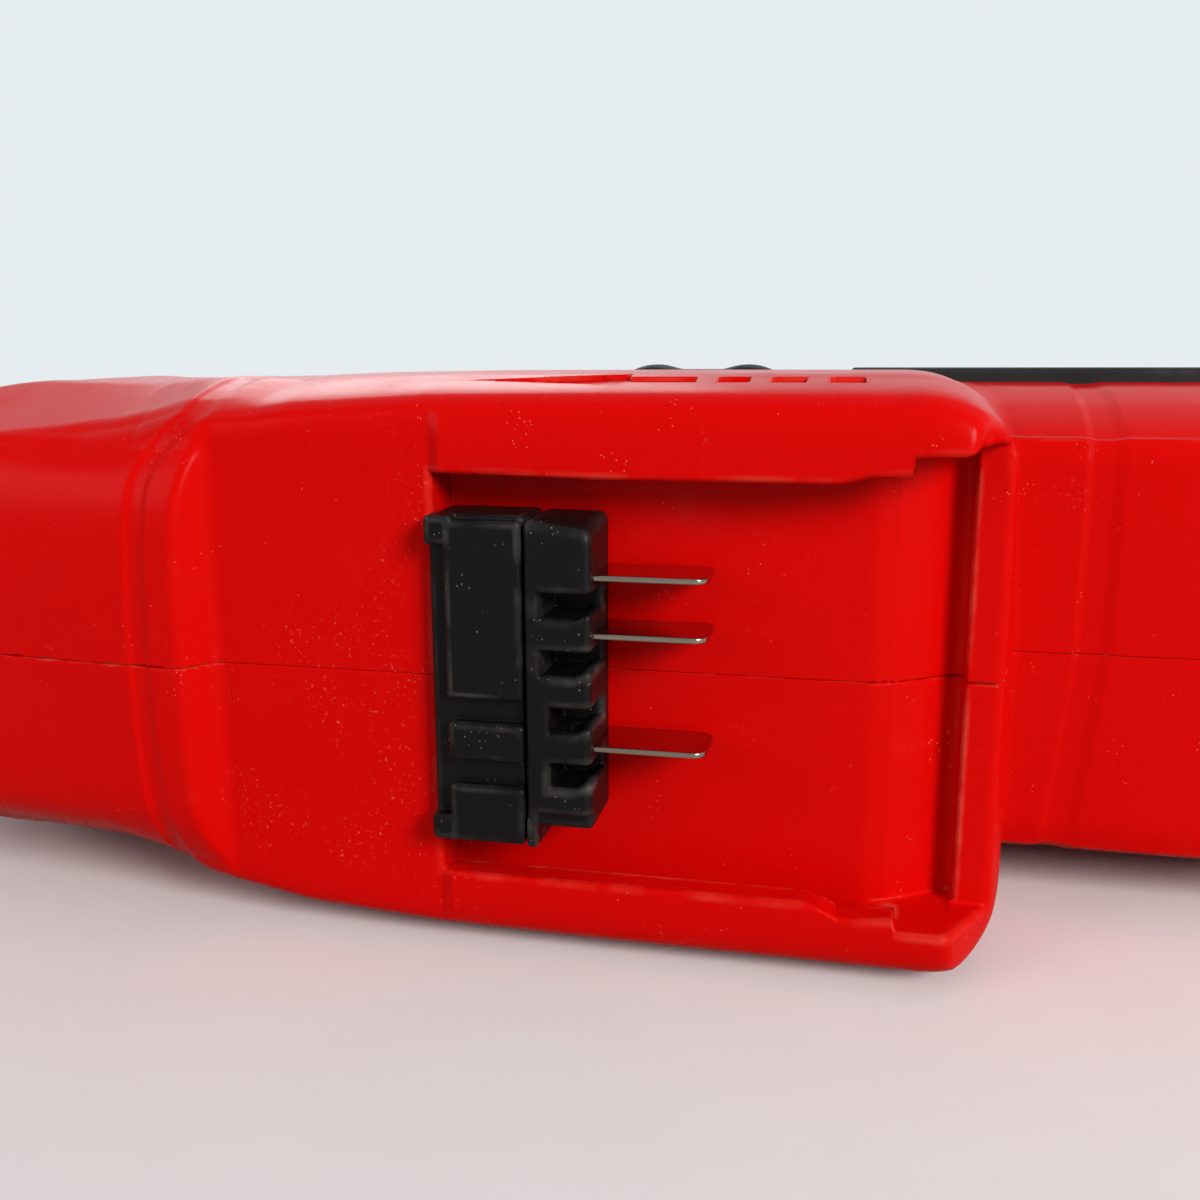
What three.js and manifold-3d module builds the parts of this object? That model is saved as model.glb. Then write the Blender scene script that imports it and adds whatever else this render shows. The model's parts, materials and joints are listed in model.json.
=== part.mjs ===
// Cordless D-handle hammer drill, bare tool without its battery, lying on its right side.
// Millimetres. X runs from the chuck (-X) to the rear grip (+X), Y from the battery foot up to the
// barrel, Z from the tool's right side, which lies on the table, to its left side. While it is built,
// Z = 0 is the parting plane of the two housing halves; the last lines move the origin to the table.
import * as THREE from 'three';
import { ConvexGeometry } from 'three/addons/geometries/ConvexGeometry.js';
import { mergeVertices } from 'three/addons/utils/BufferGeometryUtils.js';
import Module from 'manifold-3d';

const wasm = await Module();
wasm.setup();

// ---- driving dimensions ----
const WALL = 3;              // moulded housing wall
const GAP = 0.3;             // between pieces that touch
const RUN = 0.03;            // radial running clearance of a shaft in its bore
const FACETS = 28;           // sides of round parts

const TERMINAL_PITCH = 7.62; // between terminal blade positions
const BLADE_Z = 14.7;        // first blade, from the parting plane
const REST_HALF = 40;        // half width over the foot and bumpers, which lie on the table

const FOOT = { x0: -98, x1: 54, bottom: -7.8, ridge: -12.7, top: 48 };
const RECESS = { x0: -22.5, x1: 36.4, half: 27.4, railHalf: 33, lip: 4.1 };
const POCKET = { x0: 36.4, x1: 47.2, depth: 3.9, half: 30.5 };
const RIM_Y = 2.4;

const BEAM = { x0: -80, x1: 110, bottom: 22, top: 76, half: 38, flatHalf: 30 };
const COLUMN = { x: -98, top: 190 };
const BARREL = { y: 195, r: 34, x0: -128, x1: 96, taper: 18 };
const GRIP = { x: 88, y: 62, length: 127, lean: 0.135, a: 19, b: 17 };

const MODULE = 1;            // spur gears
const BEVEL_MODULE = 1.25;
const TEETH = { spindle: 33, layPinion: 11, bevelGear: 36, bevelPinion: 9 };
const LAY_Y = BARREL.y - MODULE * (TEETH.spindle + TEETH.layPinion) / 2;
const BEVEL_FACE = 7;
const SPUR_X = -124;
const SPUR_WIDTH = 10;

const SPINDLE_R = 8;
const LAYSHAFT_R = 3.2;
const MOTOR_SHAFT_R = 4;
const PINION_BORE_R = 2;

const COLLAR = { x0: -196, x1: -172, r: 25.6 };
const CLAMP = { x0: -190, x1: -174, r: 31.5 };
const HANDLE = { x: -182, top: 149, bottom: 38, r: 16 };
const ROD = { r: 3, y: BARREL.y + 38, x0: -246, x1: -158 };
const CHUCK = { x0: -246, x1: -203, r: 18, bore: 7.2, sleeve: 21.5 };
const JAW = { r: 2.8, length: 22, lean: 0.262, tipX: -241, tipR: 6.8 };
const KNOB = { x: -140, r: 13, base: 34.3 };
const TRIGGER = { x0: 47, x1: 62, y0: 127, y1: 151, half: 7.2 };
const BAR = { x: 64, y: 164, r: 4, half: 20 };
const BUMPER = { left: 38.6, right: REST_HALF };

// Screws through both halves: place of the axis, and half width of the housing there.
const SCREWS = [
  { x: -56, y: 30, half: 40 },
  { x: 44, y: 30, half: 40 },
  { x: 98, y: 50, half: 37.8 },
  { x: 83, y: 100, half: 17 },
  { x: 10, y: 217, half: 25.8 },
  { x: -110, y: 218, half: 24.9 },
];

// ---- solids from three.js geometry ----
function solid(geometry) {
  const plain = geometry.index ? geometry.toNonIndexed() : geometry.clone();
  for (const name of Object.keys(plain.attributes)) {
    if (name !== 'position') plain.deleteAttribute(name);
  }
  const merged = mergeVertices(plain, 1e-4);
  const triangles = wholeTriangles(merged.index.array);
  if (signedVolume(merged.attributes.position, triangles) < 0) {
    for (let i = 0; i < triangles.length; i += 3) {
      [triangles[i], triangles[i + 1]] = [triangles[i + 1], triangles[i]];
    }
  }
  const vertProperties = Float32Array.from(merged.attributes.position.array);
  return new wasm.Manifold(new wasm.Mesh({ numProp: 3, vertProperties, triVerts: triangles }));
}

// The triangles whose three corners differ; a lathe makes empty ones at its poles.
function wholeTriangles(index) {
  const kept = [];
  for (let i = 0; i < index.length; i += 3) {
    const [a, b, c] = index.slice(i, i + 3);
    if (a !== b && b !== c && c !== a) kept.push(a, b, c);
  }
  return Uint32Array.from(kept);
}

function signedVolume(position, triangles) {
  const [a, b, c] = [new THREE.Vector3(), new THREE.Vector3(), new THREE.Vector3()];
  let volume = 0;
  for (let i = 0; i < triangles.length; i += 3) {
    a.fromBufferAttribute(position, triangles[i]);
    b.fromBufferAttribute(position, triangles[i + 1]);
    c.fromBufferAttribute(position, triangles[i + 2]);
    volume += a.dot(b.cross(c)) / 6;
  }
  return volume;
}

function join(...solids) {
  return solids.reduce((whole, next) => whole.add(next));
}

function cut(whole, ...tools) {
  return tools.reduce((rest, tool) => rest.subtract(tool), whole);
}

function box(x0, x1, y0, y1, z0, z1) {
  const geometry = new THREE.BoxGeometry(x1 - x0, y1 - y0, z1 - z0);
  geometry.translate((x0 + x1) / 2, (y0 + y1) / 2, (z0 + z1) / 2);
  return solid(geometry);
}

function shapeOf(points) {
  return new THREE.Shape(points.map(([a, b]) => new THREE.Vector2(a, b)));
}

// A slab of a shape drawn in the XY plane, between two heights in Z.
function slab(shape, z0, z1, options = {}) {
  const settings = { depth: z1 - z0, bevelEnabled: false, curveSegments: 6, ...options };
  const geometry = new THREE.ExtrudeGeometry(shape, settings);
  geometry.translate(0, 0, z0);
  return geometry;
}

// A slab of a shape drawn as (Z, Y), between two places along X.
function slabAlongX(shape, x0, x1, options = {}) {
  return slab(shape, x0, x1, options).rotateY(Math.PI / 2);
}

// A round part from a profile of [place along the axis, radius]; the axis passes through centre.
function turned(axis, profile, centre = [0, 0, 0], facets = FACETS) {
  const points = profile.map(([along, radius]) => new THREE.Vector2(radius, along));
  const geometry = new THREE.LatheGeometry(points, facets);
  if (axis === 'x') geometry.rotateZ(-Math.PI / 2);
  if (axis === 'z') geometry.rotateX(Math.PI / 2);
  return solid(geometry.translate(...centre));
}

function rod(axis, from, to, radius, centre, facets = FACETS) {
  return turned(axis, [[from, 0], [from, radius], [to, radius], [to, 0]], centre, facets);
}

function tube(axis, from, to, inner, outer, centre, facets = FACETS) {
  const profile = [[from, inner], [from, outer], [to, outer], [to, inner], [from, inner]];
  return turned(axis, profile, centre, facets);
}

// Corner radius of a faceted bore that lets a shaft of the given radius turn.
function boreFor(shaft, facets = FACETS) {
  return (shaft + RUN) / Math.cos(Math.PI / facets);
}

// ---- scene graph ----
const drill = new THREE.Group();

function material(color, roughness, metalness = 0) {
  return new THREE.MeshStandardMaterial({ color, roughness, metalness });
}

const finishes = {
  red: () => material(0xd0140c, 0.25),
  black: () => material(0x1b1b1d, 0.45),
  rubber: () => material(0x202022, 0.8),
  steel: () => material(0xb4b6b8, 0.35, 1),
  darkSteel: () => material(0x4a4c50, 0.4, 1),
  aluminium: () => material(0x8f9296, 0.5, 1),
  nickel: () => material(0xc8c4b8, 0.3, 1),
  copper: () => material(0xb4673a, 0.4, 1),
  board: () => material(0x1d5a34, 0.6),
  lens: () => material(0xe8eef2, 0.1),
};

function add(name, form, finish) {
  const { vertProperties, triVerts, numProp } = form.getMesh();
  const positions = new Float32Array(vertProperties.length / numProp * 3);
  for (let i = 0; i < positions.length / 3; i++) {
    for (let k = 0; k < 3; k++) positions[3 * i + k] = vertProperties[numProp * i + k];
  }
  const geometry = new THREE.BufferGeometry();
  geometry.setAttribute('position', new THREE.BufferAttribute(positions, 3));
  geometry.setIndex(new THREE.BufferAttribute(Uint32Array.from(triVerts), 1));
  geometry.computeVertexNormals();
  const mesh = new THREE.Mesh(geometry, finishes[finish]());
  mesh.name = name;
  drill.add(mesh);
  return mesh;
}

// ---- housing forms: the outer form at inset 0, the inner cavity at an inset of the wall ----
// The beam's section as [z, y] points, drawn in from its surface by the inset.
function beamSection(inset) {
  const half = BEAM.half - inset;
  const flat = BEAM.flatHalf - inset;
  const bottom = BEAM.bottom + inset;
  const top = BEAM.top - inset;
  const side = new THREE.Path();
  side.moveTo(flat, bottom);
  side.quadraticCurveTo(half, bottom + 1, half, bottom + 18);
  side.lineTo(half, top - 18);
  side.quadraticCurveTo(half, top, half - 18, top);
  const points = side.getPoints(5).map(({ x, y }) => [x, y]);
  return [...points, ...points.map(([z, y]) => [-z, y])];
}

function beamForm(inset) {
  const points = [];
  for (const turn of [0, 0.25, 0.5]) {
    const back = 12 * (1 - Math.cos(turn * Math.PI));
    const section = beamSection(inset + 9 * (1 - Math.sin(turn * Math.PI)));
    for (const x of [BEAM.x0 + inset + back, BEAM.x1 - inset - back]) {
      points.push(...section.map(([z, y]) => new THREE.Vector3(x, y, z)));
    }
  }
  return solid(new ConvexGeometry(points));
}

function columnForm(inset) {
  const outline = [[-9.8, 0], [-9.8, 25.5], [-5.3, 29.5], [2, 33.4], [9, 35.8], [17, 37.2], [26, 38],
    [60, 38], [120, 35], [150, 34], [165, 33.4], [COLUMN.top, 33.4], [COLUMN.top, 0]];
  const profile = outline.map(([y, r]) => [y < 0 ? y + inset : y, r && r - inset]);
  return turned('y', profile, [COLUMN.x, 0, 0], 40);
}

function barrelForm(inset) {
  const outline = [[BARREL.x0, 0], [BARREL.x0, 34], [18, 34], [40, 32.6], [62, 28.2], [80, 21],
    [91, 12], [BARREL.x1, 0]];
  const shrink = (BARREL.x1 - inset - BARREL.taper) / (BARREL.x1 - BARREL.taper);
  const profile = outline.map(([x, r]) => {
    const along = x > BARREL.taper ? BARREL.taper + (x - BARREL.taper) * shrink : x;
    return [x === BARREL.x0 ? x - inset : along, r && r - inset];
  });
  return turned('x', profile, [0, BARREL.y, 0], 40);
}

function gripGeometry(inset, from, to) {
  const shape = new THREE.Shape();
  shape.absellipse(0, 0, GRIP.a - inset, GRIP.b - inset, 0, 2 * Math.PI);
  const geometry = slab(shape, from, to, { curveSegments: 16 });
  geometry.rotateX(-Math.PI / 2).rotateZ(GRIP.lean);
  return geometry.translate(GRIP.x, GRIP.y, 0);
}

function gripForm(inset) {
  return solid(gripGeometry(inset, 0, GRIP.length));
}

// The foot's half section as [z, y] points: slim where it leaves the column, wide at the battery.
const SLIM = [[37.6, FOOT.top], [38, 36], [36.6, 12], [33.4, 0], [28.6, -7], [25.6, -9.8], [22, -12]];
const WIDE = [[38, FOOT.top], [REST_HALF, 36], [REST_HALF, 12], [38.7, 0], [37.2, -7], [34, -11],
  [30, -12.2]];

// One section at x, from slim at share 0 to wide at share 1, its sides drawn in by the inset.
function footSection(x, share, drop, inset) {
  const half = SLIM.map(([z, y], i) => [
    z + share * (WIDE[i][0] - z) - inset,
    y < -9 ? y + share * (WIDE[i][1] - y) - drop : y,
  ]);
  return [...half, ...half.map(([z, y]) => [-z, y])].map(([z, y]) => new THREE.Vector3(x, y, z));
}

function footHull(inset) {
  const front = [[-98, -0.1, -2.4], [-75, 0, -0.6]];
  const middle = [[-75, 0, -0.6], [-59, 0.54, 0.6], [-43.6, 0.82, 0.5], [-24, 0.98, 0.4], [0, 1, 0.2]];
  const rear = [[0, 1, 0.2], [FOOT.x1, 1, 0.2]];
  return join(...[front, middle, rear].map((stretch) => solid(new ConvexGeometry(
    stretch.flatMap(([x, share, drop]) => footSection(x, share, drop, inset))))));
}

function footForm() {
  const pad = shapeOf([[-55.1, FOOT.bottom], [-59.8, -15], [60, -15], [60, FOOT.bottom]]);
  const rearCorner = shapeOf([[45, -9], [60, -9], [60, 22], [54, 8]]);
  const upperEnd = shapeOf([[43, 41], [48.5, 37], [54, 30], [60, 30], [60, 41]]);
  const lowerEnd = shapeOf([[41, -41], [47.5, -36], [54, -16], [60, -16], [60, -41]]);
  const ends = [upperEnd, lowerEnd].map((shape) => (
    slab(shape, -60, 60).rotateX(Math.PI / 2)));
  return cut(footHull(0), solid(slab(pad, -50, 50)), solid(slab(rearCorner, -50, 50)),
    ...ends.map(solid));
}

function footCavity() {
  const deep = box(-66, 33.4, WALL, FOOT.top + 2, -36.5, 36.5);
  const toColumn = box(-80, -62, WALL, FOOT.top + 2, -24, 24);
  const overPocket = box(33, 46, POCKET.depth + WALL, FOOT.top + 2, -36.5, 36.5);
  const pad = box(-66, RECESS.x0 - WALL, FOOT.bottom + WALL, WALL + 1, -32, 32);
  const above = box(-80, 60, FOOT.top - 1, FOOT.top + 2, -30, 30);
  return join(join(deep, toColumn, overPocket, pad).intersect(footHull(WALL)), above);
}

// Where the battery slides in from the rear, under two rails, up to the terminal block.
function batterySlot() {
  const floor = box(RECESS.x0, 60, -20, 0, -RECESS.half, RECESS.half);
  const grooves = box(RECESS.x0, 60, -RECESS.lip + 0.2, 0, -RECESS.railHalf, RECESS.railHalf);
  const mouth = box(39.2, 60, -20, 0, -30.3, 30.3);
  const rear = box(POCKET.x1, 60, -20, RIM_Y, -31.5, 31.5);
  const pocket = box(POCKET.x0, POCKET.x1 + 0.1, -1, POCKET.depth, -POCKET.half, POCKET.half);
  const terminals = box(-20.5, -1.5, -1, 12, -17.3, 17.3);
  return join(floor, grooves, mouth, rear, pocket, terminals);
}

// A ring of slots that breathe for the motor, round the lower part of the column.
function columnVents() {
  const slots = [-1.05, -0.7, -0.35, 0.35, 0.7, 1.05].map((turn) => {
    const slot = new THREE.BoxGeometry(40, 20, 3).translate(-40, 92, 0);
    return solid(slot.rotateY(turn).translate(COLUMN.x, 0, 0));
  });
  return join(...slots);
}

function screwBoss({ x, y }) {
  return rod('z', -60, 60, 5, [x, y, 0], 20);
}

function screwHole({ x, y, half }) {
  const shank = rod('z', -60, half - 8, 2.1, [x, y, 0], 20);
  const head = rod('z', -60, 6 - half, 4.4, [x, y, 0], 20);
  return join(shank, head);
}

function buildHousing() {
  const outer = join(beamForm(0), columnForm(0), barrelForm(0), gripForm(0), footForm());
  const inner = join(beamForm(WALL), columnForm(WALL), barrelForm(WALL), gripForm(WALL),
    footCavity());
  const bosses = join(...SCREWS.map(screwBoss)).intersect(outer);
  const motorSeat = tube('y', -10, 5, 9.3, 13, [COLUMN.x, 0, 0]);
  const walls = join(cut(outer, inner), bosses, motorSeat);
  const gearHousing = rod('x', -180, BARREL.x0, BARREL.r + GAP, [0, BARREL.y, 0], 40);
  const trigger = box(40, TRIGGER.x1 + 4, TRIGGER.y0 - 0.5, TRIGGER.y1 + 0.5, -7.8, 7.8);
  const bar = rod('z', -50, 50, BAR.r + GAP, [BAR.x, BAR.y, 0]);
  const lens = rod('x', -150, -120, 5.3, [0, 130, 0]);
  const shell = cut(walls, gearHousing, batterySlot(), columnVents(), trigger, bar, lens,
    ...SCREWS.map(screwHole));
  const above = box(-400, 400, -400, 400, GAP / 2, 100);
  const below = box(-400, 400, -400, 400, -100, -GAP / 2);
  add('housing_left', shell.intersect(above), 'red');
  add('housing_right', shell.intersect(below), 'red');
}

function buildFasteners() {
  SCREWS.forEach(({ x, y, half }, i) => {
    const profile = [[1 - half + 1.5, 0], [1 - half + 1.5, 3.8], [4.5 - half + 1.2, 3.8],
      [4.5 - half + 1.2, 1.7], [half - 9, 1.7], [half - 9, 0]];
    const screw = turned('z', profile, [x, y, 0], 16);
    const socket = rod('z', -half - 5, 1 - half + 3.2, 1.6, [x, y, 0], 6);
    add(`housing_screw_${i + 1}`, cut(screw, socket), 'darkSteel');
  });
}

// ---- terminal block ----
function bladeForm(z) {
  const outline = shapeOf([[-14, -8.9], [-7.5, -8.9], [-7.5, -10.6], [12.8, -10.6], [14.2, -10],
    [14.8, -8.6], [14.8, -3.1], [14.2, -1.7], [12.8, -1.1], [-7.5, -1.1], [-7.5, -2.6], [-14, -2.6]]);
  return solid(slab(outline, z - 0.4, z + 0.4));
}

function buildTerminals() {
  const places = [0, 1, 3].map((step) => BLADE_Z - step * TERMINAL_PITCH);
  const clearance = join(...places.flatMap((z) => [
    box(-14.3, 20, -9.2, -2.3, z - 0.7, z + 0.7),
    box(-7.8, 20, -10.9, -0.8, z - 0.7, z + 0.7),
  ]));
  const base = box(-22.2, -9.2, -10.2, -GAP, -21.9, 22.4);
  const panels = [[-1.9, 21.8], [-10.4, -5.3], [-21.9, -14]].map(([low, high]) => (
    box(-19.6, -9.2, -12, -10, low, high)));
  const hooks = [[18.6, 22.4], [-21.9, -18.4]].map(([low, high]) => (
    box(-22.2, -19.4, -12, -10, low, high)));
  const neck = box(-20, -10, -0.5, 11, -16.8, 16.8);
  add('terminal_carrier', cut(join(base, ...panels, ...hooks, neck), clearance), 'black');

  const block = box(-8.9, 0, -12, -GAP, -19.4, 22.4);
  const fin = box(-8.9, -7.4, -12, -1, -22, -19.3);
  const foot = box(-8.6, -2, -0.5, 9, -16.8, 16.8);
  const slots = [0, 1, 2, 3].map((step) => BLADE_Z - 2 - step * TERMINAL_PITCH)
    .map((top) => box(-7.2, 1, -13, -4, top - 3.4, top));
  const holder = cut(join(block, fin, foot), clearance, ...slots);
  add('terminal_holder', holder, 'black');
  ['positive', 'signal', 'negative'].forEach((name, i) => {
    add(`blade_${name}`, bladeForm(places[i]), 'nickel');
  });
}

// ---- gears ----
// Corner points of a spur gear's outline, with a tooth centred on the angle phase.
function gearOutline(teeth, module, phase) {
  const pitch = module * teeth / 2;
  const step = 2 * Math.PI / teeth;
  const corners = [[pitch - 1.15 * module, 0.27], [pitch + 0.8 * module, 0.11]];
  const points = [];
  for (let i = 0; i < teeth; i++) {
    const centre = phase + i * step;
    const flank = corners.map(([r, share]) => [r, share * step]);
    points.push(...flank.map(([r, t]) => [r, centre - t]));
    points.push(...flank.reverse().map(([r, t]) => [r, centre + t]));
  }
  return shapeOf(points.map(([r, angle]) => [r * Math.cos(angle), r * Math.sin(angle)]));
}

function spurGear(teeth, phase, shaft, y) {
  const wheel = solid(slabAlongX(gearOutline(teeth, MODULE, phase), SPUR_X, SPUR_X + SPUR_WIDTH)
    .translate(0, y, 0));
  return cut(wheel, rod('x', SPUR_X - 1, SPUR_X + SPUR_WIDTH + 1, boreFor(shaft), [0, y, 0]));
}

// A bevel wheel about +Z with its apex at the origin, a tooth centred on the angle phase.
function bevelWheel(teeth, mate, phase, bore, hub) {
  const radius = BEVEL_MODULE * teeth / 2;
  const height = BEVEL_MODULE * mate / 2;
  const cone = Math.hypot(radius, height);
  const [sin, cos] = [radius / cone, height / cone];
  const inner = 1 - BEVEL_FACE / cone;
  const root = 1.15 * BEVEL_MODULE;
  const onCone = (scale, normal) => [scale * (radius + normal * cos), scale * (height - normal * sin)];
  const [outerR, outerZ] = onCone(1, -root);
  const [innerR, innerZ] = onCone(inner, -root);
  const boss = Math.min(outerR - 0.2, bore + 5);
  const body = turned('z', [[innerZ, bore], [innerZ, innerR], [outerZ, outerR],
    [outerZ + 1.5, outerR], [outerZ + 1.5, boss], [hub, boss], [hub, bore], [innerZ, bore]]);
  const step = Math.PI * BEVEL_MODULE;
  const section = shapeOf([[-0.27 * step, -root - 0.3], [0.27 * step, -root - 0.3],
    [0.1 * step, 0.8 * BEVEL_MODULE], [-0.1 * step, 0.8 * BEVEL_MODULE]]);
  let wheel = body;
  for (let i = 0; i < teeth; i++) {
    const angle = phase + i * 2 * Math.PI / teeth;
    const ridge = slab(section, 0, 1);
    const place = ridge.attributes.position;
    for (let k = 0; k < place.count; k++) {
      const scale = 1 - place.getZ(k) * (1 - inner);
      const [r, z] = onCone(scale, place.getY(k));
      const side = scale * place.getX(k);
      place.setXYZ(k, r * Math.cos(angle) - side * Math.sin(angle),
        r * Math.sin(angle) + side * Math.cos(angle), z);
    }
    wheel = wheel.add(solid(ridge));
  }
  return wheel;
}

function buildGears() {
  const down = -Math.PI / 2;
  const gapUp = Math.PI / 2 + Math.PI / TEETH.layPinion;
  add('spindle_gear', spurGear(TEETH.spindle, down, SPINDLE_R, BARREL.y), 'steel');
  add('layshaft_pinion', spurGear(TEETH.layPinion, gapUp, LAYSHAFT_R, LAY_Y), 'steel');

  const gear = add('bevel_gear', bevelWheel(TEETH.bevelGear, TEETH.bevelPinion, down,
    boreFor(LAYSHAFT_R), 15), 'steel');
  gear.rotation.y = Math.PI / 2;
  gear.position.set(COLUMN.x, LAY_Y, 0);
  const pinion = add('bevel_pinion', bevelWheel(TEETH.bevelPinion, TEETH.bevelGear,
    Math.PI / TEETH.bevelPinion, boreFor(PINION_BORE_R), 25.2), 'steel');
  pinion.rotation.x = Math.PI / 2;
  pinion.position.set(COLUMN.x, LAY_Y, 0);

  add('layshaft', rod('x', -139, -70, LAYSHAFT_R, [0, LAY_Y, 0]), 'darkSteel');
  add('spindle', rod('x', -214.5, -108, SPINDLE_R, [0, BARREL.y, 0]), 'darkSteel');
}

// ---- motor ----
function buildMotor() {
  const axis = [COLUMN.x, 0, 0];
  const windings = [];
  for (let i = 0; i < 6; i++) {
    const winding = new THREE.BoxGeometry(7, 58, 11).translate(21.5, 48, 0);
    windings.push(solid(winding.rotateY(i * Math.PI / 3).translate(...axis)));
  }
  const bore = rod('y', 0, 100, 17.3, axis);
  add('stator', cut(join(tube('y', 24, 72, 17.3, 27, axis), ...windings), bore), 'copper');
  add('motor_ring', tube('y', 44, 52, 27.3, 34.5, axis), 'rubber');
  add('rotor_core', tube('y', 26, 70, boreFor(MOTOR_SHAFT_R), 16.6, axis), 'steel');
  add('motor_shaft', turned('y', [[-4, 0], [-4, MOTOR_SHAFT_R], [147.4, MOTOR_SHAFT_R],
    [147.4, PINION_BORE_R], [159, PINION_BORE_R], [159, 0]], axis), 'darkSteel');

  const blades = [];
  for (let i = 0; i < 10; i++) {
    const blade = new THREE.BoxGeometry(16, 11, 1.6).translate(18, 93, 0);
    blades.push(solid(blade.rotateY(i * Math.PI / 5).translate(...axis)));
  }
  const hub = tube('y', 86, 96, boreFor(MOTOR_SHAFT_R), 11, axis);
  const disc = tube('y', 86, 88.5, 8, 26, axis);
  add('motor_fan', join(hub, disc, ...blades), 'black');

  const plate = tube('y', 131, 137, 11.3, 31, axis);
  add('gearbox_plate', plate, 'aluminium');
}

function buildBearings() {
  const column = [COLUMN.x, 0, 0];
  const barrel = [0, BARREL.y, 0];
  const lay = [0, LAY_Y, 0];
  const bearings = {
    motor_bearing_bottom: ['y', -2.5, 3.5, MOTOR_SHAFT_R, 9, column],
    motor_bearing_top: ['y', 131, 137, MOTOR_SHAFT_R, 11, column],
    layshaft_bearing_front: ['x', -137, -131, LAYSHAFT_R, 6.5, lay],
    layshaft_bearing_rear: ['x', -78, -72, LAYSHAFT_R, 6.5, lay],
    spindle_bearing_rear: ['x', -137, -131, SPINDLE_R, 11, barrel],
    spindle_bearing_front: ['x', -196.5, -186, SPINDLE_R, 18, barrel],
  };
  for (const [name, [axis, from, to, shaft, outer, centre]] of Object.entries(bearings)) {
    add(name, tube(axis, from, to, boreFor(shaft), outer, centre), 'steel');
  }
}

// ---- gear housing and what it holds ----
function ratchetDisc(x0, x1, inner, outer, toothFace) {
  const notches = [];
  for (let i = 0; i < 12; i++) {
    const notch = new THREE.BoxGeometry(2, 14, 2.4).translate(toothFace, 15, 0);
    notches.push(solid(notch.rotateX(i * Math.PI / 6).translate(0, BARREL.y, 0)));
  }
  return cut(tube('x', x0, x1, inner, outer, [0, BARREL.y, 0]), ...notches);
}

function buildGearHousing() {
  const axis = [0, BARREL.y, 0];
  const outer = turned('x', [[-199, 0], [-199, 23.6], [COLLAR.x0, COLLAR.r], [COLLAR.x1, COLLAR.r],
    [-164, 29], [-152, BARREL.r], [BARREL.x0 - GAP, BARREL.r], [BARREL.x0 - GAP, 0]], axis);
  const inner = turned('x', [[-200, 0], [-200, 13], [-197, 13], [-197, 18.3], [-171, 18.3],
    [-170, 22], [-151, 22], [-150, 31], [BARREL.x0, 31], [BARREL.x0, 0]], axis);
  const knobSeat = rod('z', GAP - KNOB.base, -28, KNOB.r + 1.2, [KNOB.x, BARREL.y, 0]);
  const behind = box(BARREL.x0 - GAP, -100, 150, 240, -50, 50);
  add('gear_housing', cut(join(outer, cut(knobSeat, behind)), inner), 'aluminium');

  const bearingHoles = join(rod('x', -140, -70, 11.3, axis), rod('x', -140, -70, 6.8, [0, LAY_Y, 0]));
  add('front_gear_plate', cut(rod('x', -137, -131, 30.5, axis), bearingHoles), 'aluminium');
  const rearHole = rod('x', -80, -70, 6.8, [0, LAY_Y, 0]);
  add('rear_gear_plate', cut(rod('x', -78, -72, 30.5, axis), rearHole), 'aluminium');
  add('ratchet_fixed', ratchetDisc(-157, -152, 9.5, 21.5, -157), 'steel');
  add('ratchet_turning', ratchetDisc(-163, -158, boreFor(SPINDLE_R), 20, -158), 'steel');

  const disc = rod('z', -37.4, -KNOB.base, KNOB.r, [KNOB.x, BARREL.y, 0]);
  const ridge = box(KNOB.x - 11.5, KNOB.x + 11.5, BARREL.y - 3.2, BARREL.y + 3.2, -REST_HALF, -37);
  add('mode_knob', join(disc, ridge), 'black');
}

// ---- chuck ----
function jawGeometry(radius, from, to) {
  const geometry = new THREE.CylinderGeometry(radius, radius, to - from, 16);
  geometry.translate(0, (from + to) / 2, 0).rotateZ(-Math.PI / 2).rotateZ(JAW.lean);
  return geometry.translate(JAW.tipX, JAW.tipR, 0);
}

function buildChuck() {
  const axis = [0, BARREL.y, 0];
  const bore = boreFor(SPINDLE_R);
  const body = turned('x', [[CHUCK.x0, CHUCK.bore], [CHUCK.x0, 12], [-240.5, CHUCK.r],
    [-205, CHUCK.r], [CHUCK.x1, 16], [CHUCK.x1, bore], [-215, bore], [-215, CHUCK.bore],
    [CHUCK.x0, CHUCK.bore]], axis);
  const turns = [0, 1, 2].map((i) => i * 2 * Math.PI / 3);
  const channels = turns.map((turn) => (
    solid(jawGeometry(JAW.r + GAP, -16, JAW.length + 1).rotateX(turn).translate(...axis))));
  add('chuck_body', cut(body, ...channels), 'darkSteel');

  turns.forEach((turn, i) => {
    const flat = box(-270, -200, -20, JAW.tipR - 2.2, -5, 5);
    const jaw = add(`chuck_jaw_${i + 1}`, cut(solid(jawGeometry(JAW.r, 0, JAW.length)), flat), 'steel');
    jaw.rotation.x = turn;
    jaw.position.y = BARREL.y;
  });

  const sleeve = tube('x', -240, -206, CHUCK.r + GAP, CHUCK.sleeve, axis, 48);
  const flutes = [];
  for (let i = 0; i < 12; i++) {
    const flute = new THREE.CylinderGeometry(1.8, 1.8, 26, 10).rotateZ(Math.PI / 2);
    flute.translate(-222, CHUCK.sleeve + 0.5, 0).rotateX(i * Math.PI / 6);
    flutes.push(solid(flute.translate(...axis)));
  }
  add('chuck_sleeve', cut(sleeve, ...flutes), 'black');
}

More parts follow.
